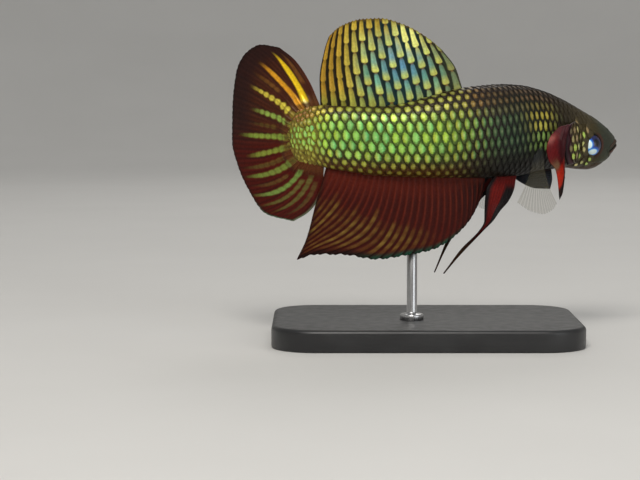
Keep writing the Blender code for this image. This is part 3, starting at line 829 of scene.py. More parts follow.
def grow_scales(name, surface, places, cells, spacing, dress, seed, sign, tilt=SCALE_TILT):
    """Overlapping scales, each a thin closed leaf sunk in front and free behind.

    surface gives points and normals by the distance towards the tail and the row. places holds
    those two for each scale, and cells its column and row on the unwrap, in whole or half numbers.
    spacing is the length of the visible part, and tilt the rise towards the free edge. dress gives
    the spots' colour, strength, half width in spacings, half height in rows, and play of colour
    from rear to front, and then the ground colour.
    """
    along, row = places
    random = np.random.default_rng(seed + sign)

    def each(value):
        return np.broadcast_to(value, row.shape)[:, None, None]

    x, y, p, q = leaf_outline()
    at_along = each(along) + each(spacing) * (SCALE_LENGTH * x - SCALE_AHEAD)
    at_row = each(row) + SCALE_HEIGHT * y + 0 * at_along
    points, normal = surface(at_along, at_row)
    small = each(np.minimum(1, spacing / 1.2))
    free_edge = along + (SCALE_LENGTH - SCALE_AHEAD) * spacing
    lift = SCALE_LIFT - each(tilt) * (each(free_edge) - at_along)
    lift = lift + each(random.uniform(-0.012, 0.012, len(row))) - 0.03 * y * y * small
    front = points + normal * lift[..., None]
    rear = front - normal * (SCALE_THICKNESS * small * (1 - p**2) * (1 - q**2))[..., None]
    room = np.array([MOST_COLUMNS, 2 * MOST_ROWS + 1])
    low = (np.stack([cells[0], cells[1] + MOST_ROWS], axis=-1) + PATCH_MARGIN) / room
    size = np.broadcast_to((1 - 2 * PATCH_MARGIN) / room, low.shape)
    points, faces, uv = closed_leaves(front, rear, (low, size), sign < 0)

    tint, strength, wide, high, play, ground = dress(along, row, random, at_along, at_row)
    above = at_row - each(row)
    behind = at_along - each(along + SPOT_BEHIND * spacing) - SPOT_LEAN * above
    behind = behind / each(wide * spacing)
    tint = painted(
        tint[:, None, None],
        (WARM_SIDE, 0.8 * each(play) * smooth(behind, -0.1, 0.9)),
        (COOL_SIDE, 0.8 * each(play) * smooth(-behind, 0.1, 1.0)),
    )
    spot = np.hypot(behind, above / each(high))
    values = {"tint": tint, "ground": ground, "spot": spot, "strength": each(strength) + 0 * spot}
    values = {key: gather_leaves(value, value) for key, value in values.items()}
    add_piece(name, points, faces, uv, values, SCALE_LOOK, ())


SPOT_WIDTH = steady_curve([
    (5, 0.36), (14, 0.36), (20, 0.32), (25, 0.32), (28, 0.33), (32, 0.36), (44, 0.38), (46, 0.48),
])
SPOT_LEAN = 0.14  # how far the top of a spot leans back, in millimetres a row


def dress_flank(flank):
    """How the scales of a flank are coloured."""

    def dress(s, row, random, at_s, at_row):
        low, high = flank.limits(s)
        tint = gleam_colour(s, row, random.normal(0, 0.55, len(s)))
        tint = tint * random.normal(1.0, 0.12, (len(s), 1))
        strength = gleam_strength(s, row, low, high) * np.clip(random.normal(1, 0.12, len(s)), 0.5, 1.15)
        tall = 0.53 - 0.1 * smooth(np.abs(row), 1.8, 3.0) - 0.12 * mound(s, 15.9, 1.5) * mound(row, 1, 0.8)
        play = smooth(s, 22, 25) * (1 - off_row(row, 1.6, 3.2)) * (1 - off_row(row, -2.2, -3.4))
        play = play * random.uniform(0.3, 1.0, len(s))
        wide = SPOT_WIDTH(s) * (1 - 0.25 * off_row(row, -1.6, -3.0))
        return tint, strength, wide, tall, play, ground_colour(at_s, at_row)

    return dress


def uneven_spots(count, random):
    """Colours and strengths of spots of lime, beige and pinkish brown."""
    shades = np.array([colour(*shade) for shade in CHEEK_SPOTS])
    tint = shades[random.choice(len(shades), count, p=CHEEK_SHARES)]
    return tint * random.uniform(0.85, 1.2, (count, 1)), random.uniform(0.6, 1.0, count)


def make_scales(sign, name):
    """The coat of one flank. Its scales get uneven at the root of the tail fin."""
    flank = FLANKS[sign]
    s, row, column = scale_places(flank)
    random = np.random.default_rng(60 + sign)
    jumble = smooth(s, 43.8, 46)
    s = s + 0.12 * jumble * random.normal(size=len(row))
    places = (s, row + 0.16 * jumble * random.normal(size=len(row)))

    def surface(at_s, at_row):
        points, normals = flank.at(at_s, at_row)
        return sink_sockets(points), normals

    spacing, tilt = scale_spacing(s), SCALE_TILT * (0.35 + 0.65 * smooth(s, 7, 13))
    dress = dress_flank(flank)
    grow_scales(f"scales_{name}", surface, places, (column, row), spacing, dress, 20, sign, tilt)


def make_ridge(upward, start, end, name):
    """One row of scales along the middle of the back or belly, where the two sides meet."""

    def skin(s, side):
        return place(s, side, skin_height(s, side, upward))

    def surface(s, row):
        side, step = RIDGE_SCALE_WIDTH * row, 0.02
        along = skin(s + step, side) - skin(s - step, side)
        across = skin(s, side + step) - skin(s, side - step)
        normal = upward * unit(np.cross(across, along))
        return skin(s, side) + RIDGE_LIFT * normal, normal

    def dress(s, row, random, at_s, at_row):
        edge = FLANKS[1].limits(s)[max(upward, 0)]
        tint = gleam_colour(s, edge, 0 * s) * random.normal(1, 0.12, (len(s), 1))
        strength = 0.35 * gleam_strength(s, 0 * s, -MOST_ROWS, MOST_ROWS)
        return tint, strength, 0.3 + 0 * s, 0.4, 0 * s, ground_colour(at_s, 0 * at_s + 4.5 * upward)

    s, count = count_columns()
    columns = np.arange(math.ceil(np.interp(start, s, count)), np.interp(end, s, count))
    along = np.interp(columns, count, s)
    places, cells = (along, 0 * along), (columns - columns[0], 0 * along)
    grow_scales(name, surface, places, cells, scale_spacing(along), dress, 90, upward)


CHEEK_SCALES = [
    (9.0, 15.5), (8.6, 14.3), (7.7, 13.9), (6.9, 14.5), (7.7, 12.6), (8.1, 11.0), (7.5, 11.9),
    (7.2, 10.1), (6.2, 9.9), (6.0, 10.5), (7.9, 9.8),
]  # s and z of the middle of their spots


def make_cheek(sign, name):
    """The few scales of a cheek, behind and below the eye."""
    flank = FLANKS[sign]
    s, z = np.array(CHEEK_SCALES).T - [[0.12], [0]]
    rows = np.arange(-MOST_ROWS, MOST_ROWS, Flank.ROWS_A_STEP)
    row = np.array([
        np.interp(up, flank.at(np.full(len(rows), at), rows)[0][:, 2], rows) for at, up in zip(s, z)
    ])

    def dress(along, row, random, at_along, at_row):
        tint, strength = uneven_spots(len(row), random)
        ground = np.broadcast_to(colour(76, 66, 40), (*at_along.shape, 3))
        return tint, strength, 0.36 + 0 * row, 0.4, 0 * row, ground

    def surface(at_s, at_row):
        points, normals = flank.at(at_s, at_row)
        return points + CHEEK_LIFT * normals, normals

    cells = (np.arange(len(s)), 0 * s)
    grow_scales(f"cheek_scales_{name}", surface, (s, row), cells, 0.9 + 0 * s, dress, 30, sign)


def make_scale_look():
    """A dark moist scale with a bright metallic spot, which fades to its rim, and a painted highlight of
    pale yellow in the spot's middle.
    """
    look = Look("scale", Specular_IOR_Level=0.2, Coat_Weight=0.1, Coat_Roughness=0.2)
    ragged = look.ranged(look.noise(0.25), 0.25, 0.75, -0.14, 0.14)
    spot = look.calculate("ADD", look.value_of("spot"), ragged)
    mask = look.ranged(spot, 0.62, 1.15, 1.0, 0.0)
    mask = look.calculate("MULTIPLY", mask, look.value_of("strength"))
    # painted highlight: the middle of each spot is lightened towards pale yellow
    painted_highlight = look.ranged(spot, 0.0, 0.75, 0.3, 0.0)
    bright = look.mixed(painted_highlight, look.colour_of("tint"), (1.0, 1.0, 0.6, 1.0))
    ground = look.mottled(look.colour_of("ground"), 0.5, 0.3)
    look.feed("Base Color", look.mixed(mask, ground, bright))
    look.feed("Metallic", look.calculate("MULTIPLY", mask, 0.45))
    look.feed("Roughness", look.ranged(mask, 0.0, 1.0, 0.46, 0.3))
    rings = look.node("ShaderNodeMath", {0: look.calculate("MULTIPLY", spot, 34.0)}, operation="SINE")
    look.bump(rings.outputs[0], 0.004)
    return look.material


# ---------------------------------------------------------------- fins and gills


def joined_edges(base, margin, first, last):
    """The sheet that fills four edges, each given by points.

    base and margin run alike. first and last join their ends, and are given only between them.
    """
    base, margin = line_through(base), line_through(margin)
    first = line_through([base(0), *first, margin(0)])
    last = line_through([base(1), *last, margin(1)])

    def surface(u, v):
        u, v = np.asarray(u, float)[..., None], np.asarray(v, float)[..., None]
        sides = first(v[..., 0]) * (1 - u) + last(v[..., 0]) * u
        ends = base(u[..., 0]) * (1 - v) + margin(u[..., 0]) * v
        corners = (base(0) * (1 - u) + base(1) * u) * (1 - v)
        corners = corners + (margin(0) * (1 - u) + margin(1) * u) * v
        return place(*np.moveaxis(sides + ends - corners, -1, 0))

    return surface


def dorsal_surface():
    """The tall dorsal fin, from its rear ray to its front ray."""
    base = [(s, 0, back(s) + GAP) for s in (45.0, 40.0, 35.0, 30.0, 25.9)]
    margin = [
        (43.8, 0, 27.4), (42.3, 0, 28.7), (39.3, 0, 29.7), (36.9, 0, 29.8), (33.8, 0, 29.0),
        (30.7, 0, 27.3), (28.6, 0, 25.6),
    ]
    return joined_edges(base, margin, [(45.1, 0, 21.5), (44.4, 0, 25.6)], [(26.7, 0, 23.1)])


def anal_surface():
    """The long anal fin, from its front ray to the point at its rear, which sways to the right."""
    base = [(s, 0, belly(s) - GAP) for s in (22.5, 28.0, 33.0, 38.0, 42.0, 44.3)]
    margin = [
        (22.9, 0, 5.8), (24.6, 0, 2.7), (27.2, 0, 0.1), (29.7, 0, -1.3), (33.0, 0, -2.0),
        (37.4, -0.1, -2.6), (41.9, -0.2, -2.0), (45.0, -0.3, -2.0), (48.2, -0.3, -2.8),
    ]
    rear = [(44.8, -0.1, 7.6), (45.5, -0.3, 5.1), (46.9, -0.3, -0.1)]
    return joined_edges(base, margin, [(22.6, 0, 7.0)], rear)


def caudal_surface():
    """The round tail fin, from its top ray to its bottom ray, set round the end of the stalk."""
    base = [
        (45.2, 0, back(45.2) + GAP), (48.4, 0, 17.9), (49.8, 0, 16.0), (49.9, 0, 13.9),
        (49.8, 0, 11.9), (48.3, 0, 9.8), (44.5, 0, belly(44.5) - GAP),
    ]
    margin = [
        (50.8, -0.2, 25.9), (53.8, -0.1, 26.3), (56.4, 0, 25.4), (58.6, 0, 22.7), (59.5, 0, 17.3),
        (59.6, 0, 13.0), (58.4, 0, 9.6), (56.2, 0, 6.2), (53.2, 0, 3.2), (49.0, 0.4, 2.3),
    ]
    top = [(46.4, -0.1, 21.2), (48.6, -0.2, 24.3)]
    bottom = [(44.7, 0.3, 7.7), (45.4, 0.5, 5.4), (46.7, 0.5, 3.7)]
    return joined_edges(base, margin, top, bottom)


# Outlines of the pelvic fins by side: the front edge, the rear edge and the two corners of the tip.
PELVIC_EDGES = {
    -1: (
        [
            (18.7, -1.3, 6.8), (19.8, -1.6, 5.2), (21.1, -1.8, 4.0), (22.2, -1.9, 2.6),
            (23.4, -1.9, 1.4), (26.0, -1.6, -1.7),
        ],
        [
            (22.9, -1.3, 6.8), (23.2, -1.6, 4.1), (23.3, -1.8, 2.6), (24.0, -1.9, 1.3),
            (26.4, -1.6, -1.3),
        ],
        [(28.2, -1.3, -4.6), (28.6, -1.3, -4.3)],
    ),
    1: (
        [
            (19.9, 1.3, 7.0), (21.8, 1.6, 5.7), (23.6, 1.7, 4.1), (24.9, 1.8, 2.2),
            (26.6, 1.8, 0.2), (27.5, 1.7, -1.3),
        ],
        [
            (23.2, 1.3, 6.9), (24.9, 1.6, 5.3), (25.9, 1.7, 3.6), (27.3, 1.8, 0.4),
            (28.0, 1.7, -1.1),
        ],
        [(29.1, 1.4, -4.7), (29.5, 1.4, -4.4)],
    ),
}


def pelvic_surface(side):
    """A pelvic fin, a narrow blade that ends in a thread. The left hangs further back."""
    base = [(s, side, skin_height(s, 1.0, -1) - GAP - 0.1) for s in (18.2, 20.2, 22.1)]
    front, rear, tip = PELVIC_EDGES[side]
    whole = joined_edges(base, tip, front, rear)

    def thinned(u, v):
        return whole(0.5 + (u - 0.5) * (1 - 0.65 * smooth(v, 0.6, 1.0)), v)

    return thinned


def off_skin(places, side, gap):
    """Points this far out from the skin of the side, given by s and z."""
    return [(s, side * (float(skin_side(s, z)) + gap), z) for s, z in places]


def mirrored(side, *edges):
    """Edges of the left side's piece, or on the right side their mirror image."""
    return [[(s, side * across, z) for s, across, z in edge] for edge in edges]


def pectoral_surface(side):
    """A pectoral fin, fanned downwards and out from its short base."""
    base = off_skin([(16.2, 12.3), (16.8, 11.7), (17.5, 11.0)], side, GAP + 0.2)
    margin = [(14.8, 5.6, 4.9), (16.0, 5.9, 4.1), (17.8, 6.0, 3.6), (19.5, 5.9, 4.1), (21.0, 5.6, 5.3)]
    first, last = [(16.2, 4.5, 9.6), (15.7, 5.1, 7.0)], [(19.2, 4.9, 8.4)]
    return joined_edges(base, *mirrored(side, margin, first, last))


def gill_cover_surface(side):
    """A raised gill cover, from its hinge behind the cheek to its free edge."""
    base = off_skin([(8.9, 15.9), (8.3, 14.4), (8.2, 12.6), (8.7, 10.6)], side, GAP + 0.25)
    margin = [(12.2, 4.9, 15.3), (13.1, 5.4, 14.2), (13.4, 5.6, 12.7), (13.2, 5.5, 11.2), (12.4, 5.1, 10.0)]
    return joined_edges(base, *mirrored(side, margin, [(10.4, 4.2, 15.8)], [(10.4, 4.4, 10.1)]))


def gill_membrane_right_surface():
    """The soft membrane behind the right gill cover, which ends below in a hanging lappet."""
    base = [(13.0, -5.2, 15.4), (14.1, -5.6, 12.7), (13.6, -5.4, 10.2), (12.8, -4.9, 8.2)]
    margin = [
        (14.0, -5.0, 15.2), (15.9, -5.15, 13.8), (16.5, -5.2, 12.3), (16.0, -5.1, 10.7),
        (14.5, -4.95, 9.3), (13.9, -4.8, 7.6), (13.4, -4.6, 5.2),
    ]
    return joined_edges(base, margin, [], [(12.9, -4.7, 6.2)])


def gill_membrane_left_surface():
    """The soft membrane behind and below the left gill cover, spread under the throat."""
    base = [(14.1, 5.6, 13.2), (13.9, 5.4, 10.9), (12.5, 4.9, 9.3), (10.4, 4.0, 9.2), (8.3, 3.4, 9.4)]
    margin = [(15.6, 5.3, 12.6), (14.9, 5.1, 9.6), (13.2, 4.1, 7.4), (10.7, 3.5, 6.3), (8.6, 3.1, 6.2)]
    return joined_edges(base, margin, [], [(8.2, 3.2, 7.8)])


def ray_ridge(ray, v, fork, width):
    """1 on the fin rays and 0 between them. A ray forks from the share v = fork outwards."""
    split = 0.25 * smooth(v, fork, 1.25)
    phase = ray - np.floor(ray)
    near = np.minimum(np.abs(phase - 0.5 - split), np.abs(phase - 0.5 + split))
    return mound(near, 0, width)


def make_sheet(name, surface, size, ray_of, shape, paint, look, node):
    """A fin or gill piece: a thin closed sheet with raised rays, in place of a node.

    size is its points across and along. The share v runs from -1 inside the body to 0 at the root
    and 1 at the free edge, and u from one side of the sheet to the other.
    """
    v = np.concatenate([np.linspace(-1, 0, ROOT_STEPS, endpoint=False), np.linspace(0, 1, size[1])])
    u, v = np.meshgrid(np.linspace(0, 1, size[0]), v, indexing="ij")
    out = np.maximum(v, 0)
    ray = ray_of(u, out)
    ridge = ray_ridge(ray, out, shape.fork, shape.width)
    reach = out * (1 + shape.tips * (ridge - 0.6) * smooth(out, 0.75, 1.0))
    inward = unit(surface(u, 0 * u + 0.02) - surface(u, 0 * u)) * (np.minimum(v, 0) * shape.root)[..., None]
    middle = surface(u, reach) + inward
    normal = grid_normals(middle)
    middle = middle - normal * (shape.outer * shape.sink * fade(v, 0, SINK_REACH))[..., None]
    ripple = shape.ripple * drift(len(name), u * 1.5, out * 0.8) * smooth(out, 0.1, 0.6)
    ripple = ripple + shape.pleat * (ridge - 0.4) * smooth(out, 0, 0.2)
    half = (shape.thin + (shape.thick - shape.thin) * ridge * (1 - 0.6 * smooth(out, 0.3, 1))) / 2
    half = half + shape.flare * fade(out, 0, 0.16)
    to_sides, to_end = (np.minimum(1, x / RIM_SHARE) for x in (np.minimum(u, 1 - u), 1 - out))
    half = half * np.sqrt(to_sides * to_end)
    half[:, 0] = 0
    front = middle + normal * (ripple + half)[..., None]
    rear = middle + normal * (ripple - half)[..., None]
    length = running_total(np.linalg.norm(np.diff(middle, axis=1), axis=-1))
    field = SimpleNamespace(u=u, v=out, ray=ray, ridge=ridge, mm=length - length[:, [ROOT_STEPS]])
    tint, gleam, clear = paint(field)
    patch = (np.array([[0.01, 0.01]]), np.array([[0.98, 0.98]]))
    points, faces, uv = closed_leaves(front[None], rear[None], patch)
    values = {"tint": tint, "gleam": gleam + 0 * u, "clear": clear + 0 * u}
    values = {key: gather_leaves(value[None], value[None]) for key, value in values.items()}
    add_piece(name, points, faces, uv, values, look, (node,))


def sheet_shape(**changes):
    """How a sheet is built, in millimetres and shares.

    thin and thick are its thickness between the rays and on them, fork the share from which rays
    fork, width the rays' width, tips how far their ends stand out, ripple and pleat how it waves,
    root how deep it runs on into the body, flare the thickness added to each side there, sink how
    far its root is set in, and outer the sign of the face that looks outwards.
    """
    shape = dict(
        thin=0.12, thick=0.36, fork=0.35, width=0.12, tips=0.02, ripple=0.1, pleat=0.03,
        root=0.7, flare=0.0, sink=0.0, outer=1,
    )
    return SimpleNamespace(**{**shape, **changes})


def fan_of(count):
    """Rays spread evenly over the width of a sheet, as a function of u and v."""
    return lambda u, v: count * u


def plain(field, shade):
    """One colour over a sheet."""
    return np.broadcast_to(colour(*shade), (*field.u.shape, 3))


DORSAL_COLUMNS = 15
DASH_LENGTH = 2.95
MOST_DASHES = 16


def dorsal_ray(u, v):
    """Rays that lean back the more in the middle of the fin."""
    return DORSAL_COLUMNS * (u + 0.34 * u * (1 - u) * v)


def dorsal_dashes(f):
    """The dashes of the dorsal fin: where they are, how far along each, their tone and their joins."""
    random = np.random.default_rng(5)
    column = np.clip(np.floor(f.ray), 0, DORSAL_COLUMNS - 1).astype(int)
    starts = 0.44 * np.arange(DORSAL_COLUMNS + 1) + random.uniform(-0.08, 0.08, DORSAL_COLUMNS + 1)
    count = f.mm / DASH_LENGTH + starts[column]
    number = np.clip(np.floor(count).astype(int), 0, MOST_DASHES - 1)
    within = count - np.floor(count)
    tone = random.uniform(0.82, 1.12, (DORSAL_COLUMNS, MOST_DASHES))[column, number]
    rear = fade(f.u, 0.12, 0.3)
    taper = smooth(within, 0.25, 1.0) * (1 - rear)
    ends = np.sqrt(np.minimum(np.minimum(within / 0.07, (1 - within) / 0.16), 1))
    ends = ends + (1 - ends) * (0.6 * rear + 0.3 * (1 - rear))
    half = (0.32 - 0.04 * rear - 0.1 * taper + 0.05 * mound(within, 0.14, 0.12)) * ends
    off_middle = np.abs(f.ray - column - 0.5 + 0.04 * drift(7, f.mm / 3, f.ray / 2))
    dash = fade(off_middle, half - 0.06, half + 0.06)
    return dash, within, tone, fade(ends, 0.55, 0.95) * (1 - rear)


def paint_dorsal(f):
    """Columns of bright dashes between black rays: gold behind and above, blue in front."""
    dash, within, tone, join = dorsal_dashes(f)
    cool = painted(
        plain(f, (200, 194, 96)),
        ((132, 194, 148), smooth(f.u, 0.2, 0.36) * mound(f.v, 0.3, 0.35)),
        ((112, 166, 200), 0.95 * mound(f.u, 0.6, 0.2) * mound(f.v, 0.45, 0.28)),
        ((120, 146, 120), 0.6 * smooth(f.u, 0.75, 0.9)),
    )
    warm = painted(plain(f, (226, 220, 104)), ((212, 226, 130), mound(f.u, 0.62, 0.25)))
    gold = np.maximum(fade(f.u, 0.14, 0.34), smooth(f.v, 0.72, 0.95) * fade(f.u, 0.4, 0.62))
    bright = painted(
        blend(warm, cool, smooth(within, 0.1, 0.55)),
        ((206, 172, 58), 0.85 * gold),
        ((190, 138, 48), 0.6 * fade(f.u, 0.05, 0.2)),
        ((160, 168, 72), 0.7 * fade(f.v, 0.0, 0.22) * fade(f.u, 0.5, 0.8)),
    )
    blotch = np.minimum(2.2 * mound(f.u, 0.665, 0.07) * mound(f.v, 0.84, 0.17), 1)
    front = smooth(f.u, 0.86, 0.97)
    bright = painted(
        bright * (tone * (1 - 0.25 * smooth(within, 0.6, 1.0)))[..., None],
        ((255, 255, 150), blotch),
        ((118, 128, 88), 0.75 * front),
        ((128, 84, 40), 0.75 * join * (1 - blotch)),
    )
    dark = painted(
        plain(f, (38, 31, 17)), ((26, 50, 52), mound(f.u, 0.58, 0.25)), ((58, 66, 50), 0.7 * front)
    )
    edge = smooth(f.v, 0.95, 1.0)
    tint = painted(blend(dark, bright, dash), ((96, 78, 32), 0.75 * edge))
    return tint, 0.7 * dash * (1 - join) * (1 - edge) * (1 - front), 1.0


# Streaks of the tail fin from its top to its bottom: u at the root and at the margin, the shares
# where the streak starts and ends, its strength, how much it is broken into blobs, and its colour.
TAIL_STREAKS = [
    (0.045, 0.035, 0.3, 0.85, 0.35, 0.0, (150, 100, 44)),
    (0.094, 0.072, 0.03, 0.82, 1.1, 0.0, (255, 214, 40)),
    (0.156, 0.178, 0.0, 0.76, 0.9, 0.15, (240, 170, 44)),
    (0.215, 0.235, 0.3, 0.75, 0.25, 0.5, (170, 120, 50)),
    (0.27, 0.3, 0.0, 0.72, 1.0, 0.85, (232, 214, 80)),
    (0.36, 0.4, 0.0, 0.66, 0.85, 0.75, (156, 186, 84)),
    (0.43, 0.46, 0.2, 0.7, 0.2, 0.8, (150, 130, 50)),
    (0.49, 0.51, 0.0, 0.85, 0.8, 0.5, (146, 172, 70)),
    (0.575, 0.605, 0.0, 0.78, 0.8, 0.45, (144, 160, 64)),
    (0.645, 0.655, 0.1, 0.9, 0.35, 0.5, (126, 116, 52)),
    (0.7, 0.69, 0.0, 0.93, 0.75, 0.4, (134, 156, 68)),
    (0.765, 0.735, 0.25, 0.9, 0.3, 0.5, (120, 110, 52)),
    (0.825, 0.78, 0.03, 0.97, 0.75, 0.35, (128, 160, 78)),
    (0.875, 0.83, 0.2, 0.97, 0.45, 0.4, (124, 130, 64)),
    (0.92, 0.885, 0.1, 0.93, 0.5, 0.4, (118, 122, 60)),
    (0.96, 0.94, 0.2, 0.9, 0.35, 0.4, (110, 104, 54)),
]
TAIL_BRANCHES = 24
BEAD_LENGTH = 1.02  # of the blobs that the streaks break into, in millimetres


def paint_streaks(f, tint):
    """The bright streaks of the tail fin over its ground, and how strong they are."""
    across = 14 + 26 * f.v  # length of the line of equal v, in millimetres
    gleam = np.zeros_like(f.u)
    for number, (root, tip, start, end, strength, blobs, shade) in enumerate(TAIL_STREAKS):
        line = root + (tip - root) * f.v + 0.003 * drift(30 + number, f.mm / 8)
        width = (0.35 - 0.08 * f.v + 0.09 * strength) * (1 - 0.3 * smooth(f.v, end - 0.3, end))
        width = width * (1 + 0.18 * drift(50 + number, f.mm / 3))
        turns = 2 * math.pi * f.mm / BEAD_LENGTH
        beads = 0.5 + 0.5 * np.cos(turns + number + 0.8 * drift(70 + number, f.mm / 4))
        blobs = blobs * (1 - 0.5 * smooth(f.v, 0.45, 0.65))
        width = width * (1 - blobs * 0.4 * (1 - beads))
        share = fade(np.abs(f.u - line) * across, 0.5 * width, 1.3 * width)
        share = share * smooth(f.v, start - 0.02, start + 0.04) * fade(f.v, end - 0.25, end + 0.05)
        share = strength * share * (1 - 0.7 * blobs * fade(beads, 0.05, 0.5))
        tint = painted(tint, (shade, np.clip(share * 1.2, 0, 1)))
        gleam = np.maximum(gleam, share)
    return tint, gleam


def paint_caudal(f):
    """Dark maroon between darker rays, with a bright streak along every other ray."""
    lower = smooth(f.u, 0.42, 0.6)
    tint = painted(plain(f, (72, 36, 22)), ((80, 22, 15), lower))
    tint = blend(tint, tint * 1.5, 0.5 * (1 - f.ridge) * smooth(f.v, 0.1, 0.5))
    comb = 0.5 + 0.5 * np.sin(2 * math.pi * 2 * f.ray)
    tint = painted(
        tint,
        ((34, 18, 15), 0.5 * comb * smooth(f.v, 0.2, 0.6)),
        ((40, 24, 24), 0.75 * smooth(f.v, 0.6, 0.85) * (1 - lower)),
        ((104, 66, 34), 0.6 * mound(f.v, 0.0, 0.1)),
    )
    tint, gleam = paint_streaks(f, tint)
    low_edge = smooth(f.u, 0.78, 0.95) * smooth(f.v, 0.965, 0.99)
    edge = np.maximum(low_edge, smooth(f.u, 0.985, 1.0) * smooth(f.v, 0.3, 0.5))
    tint = painted(
        tint,
        ((255, 240, 160), 0.8 * mound(f.v, 0.04, 0.03) * mound(f.u, 0.094, 0.014)),
        ((26, 16, 12), 0.7 * smooth(f.v, 0.93, 1.0)),
        ((110, 150, 120), 0.7 * edge),
    )
    return tint, 0.6 * np.clip(gleam, 0, 1), 1.0


ANAL_RAYS = 28


def anal_ray(u, v):
    """Rays that run down from the base and bend backwards, the more so at the rear."""
    return ANAL_RAYS * (u - (0.03 + 0.3 * u * u) * v * v)


def anal_streaks(f):
    """The streaks between the rays of the anal fin, longer and stronger behind, uneven in both."""
    random = np.random.default_rng(9)
    count = 2 * ANAL_RAYS + 1
    number = np.clip(np.floor(f.ray) + ANAL_RAYS // 2, 0, count - 1).astype(int)
    strength = random.uniform(0.25, 1.0, count)[number]
    start = 0.94 - 0.7 * f.u + random.uniform(-0.1, 0.1, count)[number]
    share = smooth(f.v, start - 0.06, start + 0.12) * fade(f.v, 0.84, 0.96)
    line = fade(np.abs(f.ray - np.floor(f.ray) - 0.5), 0.16, 0.36)
    pulse = 0.75 + 0.25 * np.sin(2 * math.pi * f.mm / 1.3 + number)
    return strength * share * line * smooth(f.u, 0.3, 0.6) * pulse


def paint_anal(f):
    """Maroon with faint pale rays, and olive-gold streaks below and behind."""
    streaks = anal_streaks(f)
    margin = smooth(f.v, 0.9, 0.98)
    specks = margin * f.ridge * smooth(f.u, 0.15, 0.3) * fade(f.u, 0.6, 0.75)
    tint = painted(
        plain(f, (80, 24, 16)),
        ((50, 18, 14), fade(f.u, 0.02, 0.3)),
        ((108, 42, 28), 0.6 * f.ridge * fade(f.v, 0.35, 0.9)),
        ((40, 13, 10), 0.6 * (1 - f.ridge) * smooth(f.v, 0.05, 0.35)),
        ((96, 34, 20), 0.5 * mound(f.v, 0, 0.12)),
        ((132, 104, 46), np.clip(streaks, 0, 1)),
        ((20, 15, 13), 0.85 * margin),
        ((38, 112, 88), 0.7 * specks * (0.6 + 0.4 * drift(21, f.ray))),
        ((28, 14, 11), 0.8 * smooth(f.u, 0.965, 1.0)),
    )
    return tint, 0.5 * streaks + 0.5 * specks, 1.0


def paint_pelvic(f):
    """Black in front, with a red band behind it and a black rear edge, narrowing to a brown thread."""
    red = painted(plain(f, (82, 10, 8)), ((98, 16, 10), mound(f.v, 0.12, 0.15)))
    band = smooth(f.u, 0.26 + 0.12 * smooth(f.v, 0, 0.2), 0.46) * fade(f.u, 0.78, 0.92)
    band = np.maximum(band, fade(f.v, 0.02, 0.1) * fade(f.u, 0.6, 0.8))
    tint = blend(plain(f, (20, 14, 15)), red, band * fade(f.v, 0.45, 0.75))
    tint = painted(tint, ((66, 42, 26), 0.8 * smooth(f.v, 0.5, 0.85)))
    return tint * (1 + 0.3 * (f.ridge - 0.5))[..., None], 0.1 * f.ridge, 1.0


def paint_pectoral(f):
    """Clear, greyish at the base, with faint pale rays."""
    tint = painted(plain(f, (116, 110, 86)), ((58, 60, 60), fade(f.v, 0.05, 0.4)))
    clear = 0.05 + 0.16 * f.ridge + 0.4 * fade(f.v, 0.0, 0.3)
    return tint * (0.75 + 0.5 * f.ridge)[..., None], 0.1, np.clip(clear, 0, 0.95)


def paint_gill_cover(f):
    """Dark brown under scales in front, purplish and near black towards the free edge."""
    tint = painted(
        plain(f, (50, 38, 28)),
        ((62, 36, 42), smooth(f.v, 0.5, 0.75)),
        ((30, 18, 22), smooth(f.v, 0.84, 1.0)),
    )
    return tint * (1 + 0.15 * drift(17, f.u * 3, f.v * 3))[..., None], 0.25, 1.0


def paint_membrane_right(f):
    """Crimson, pinkish at its upper front, where a pale edge of flesh carries a painted highlight, with an
    orange-red lappet that ends in black.
    """
    tint = painted(
        plain(f, (98, 16, 20)),
        ((60, 12, 18), fade(f.v, 0.1, 0.5)),
        ((84, 46, 50), 0.8 * fade(f.u, 0.08, 0.2)),
        # partly painted highlight: a pale pink stripe near the free margin, over a pale edge of flesh
        ((178, 104, 96), 0.7 * mound(f.u, 0.22, 0.06) * mound(f.v, 0.85, 0.25)),
        ((120, 92, 66), 0.85 * mound(f.u, 0.6, 0.07) * smooth(f.v, 0.35, 0.6)),
        ((176, 40, 20), smooth(f.u, 0.62, 0.72) * smooth(f.v, -0.2, 0.3)),
        ((26, 16, 14), smooth(f.u, 0.84, 0.9)),
    )
    return tint * (1 + 0.35 * (f.ridge - 0.5))[..., None], 0.1 + 0.2 * f.ridge, 1.0


def paint_membrane_left(f):
    """Near black, with bluish-white arcs."""
    arcs = f.ridge * smooth(f.v, 0.15, 0.4) * (0.6 + 0.4 * drift(8, f.u * 2, f.v))
    coats = ((50, 12, 12), 0.6 * fade(f.v, 0.0, 0.35)), ((96, 108, 128), 0.35 * arcs)
    return painted(plain(f, (12, 11, 12)), *coats), 0.2 * arcs, 1.0


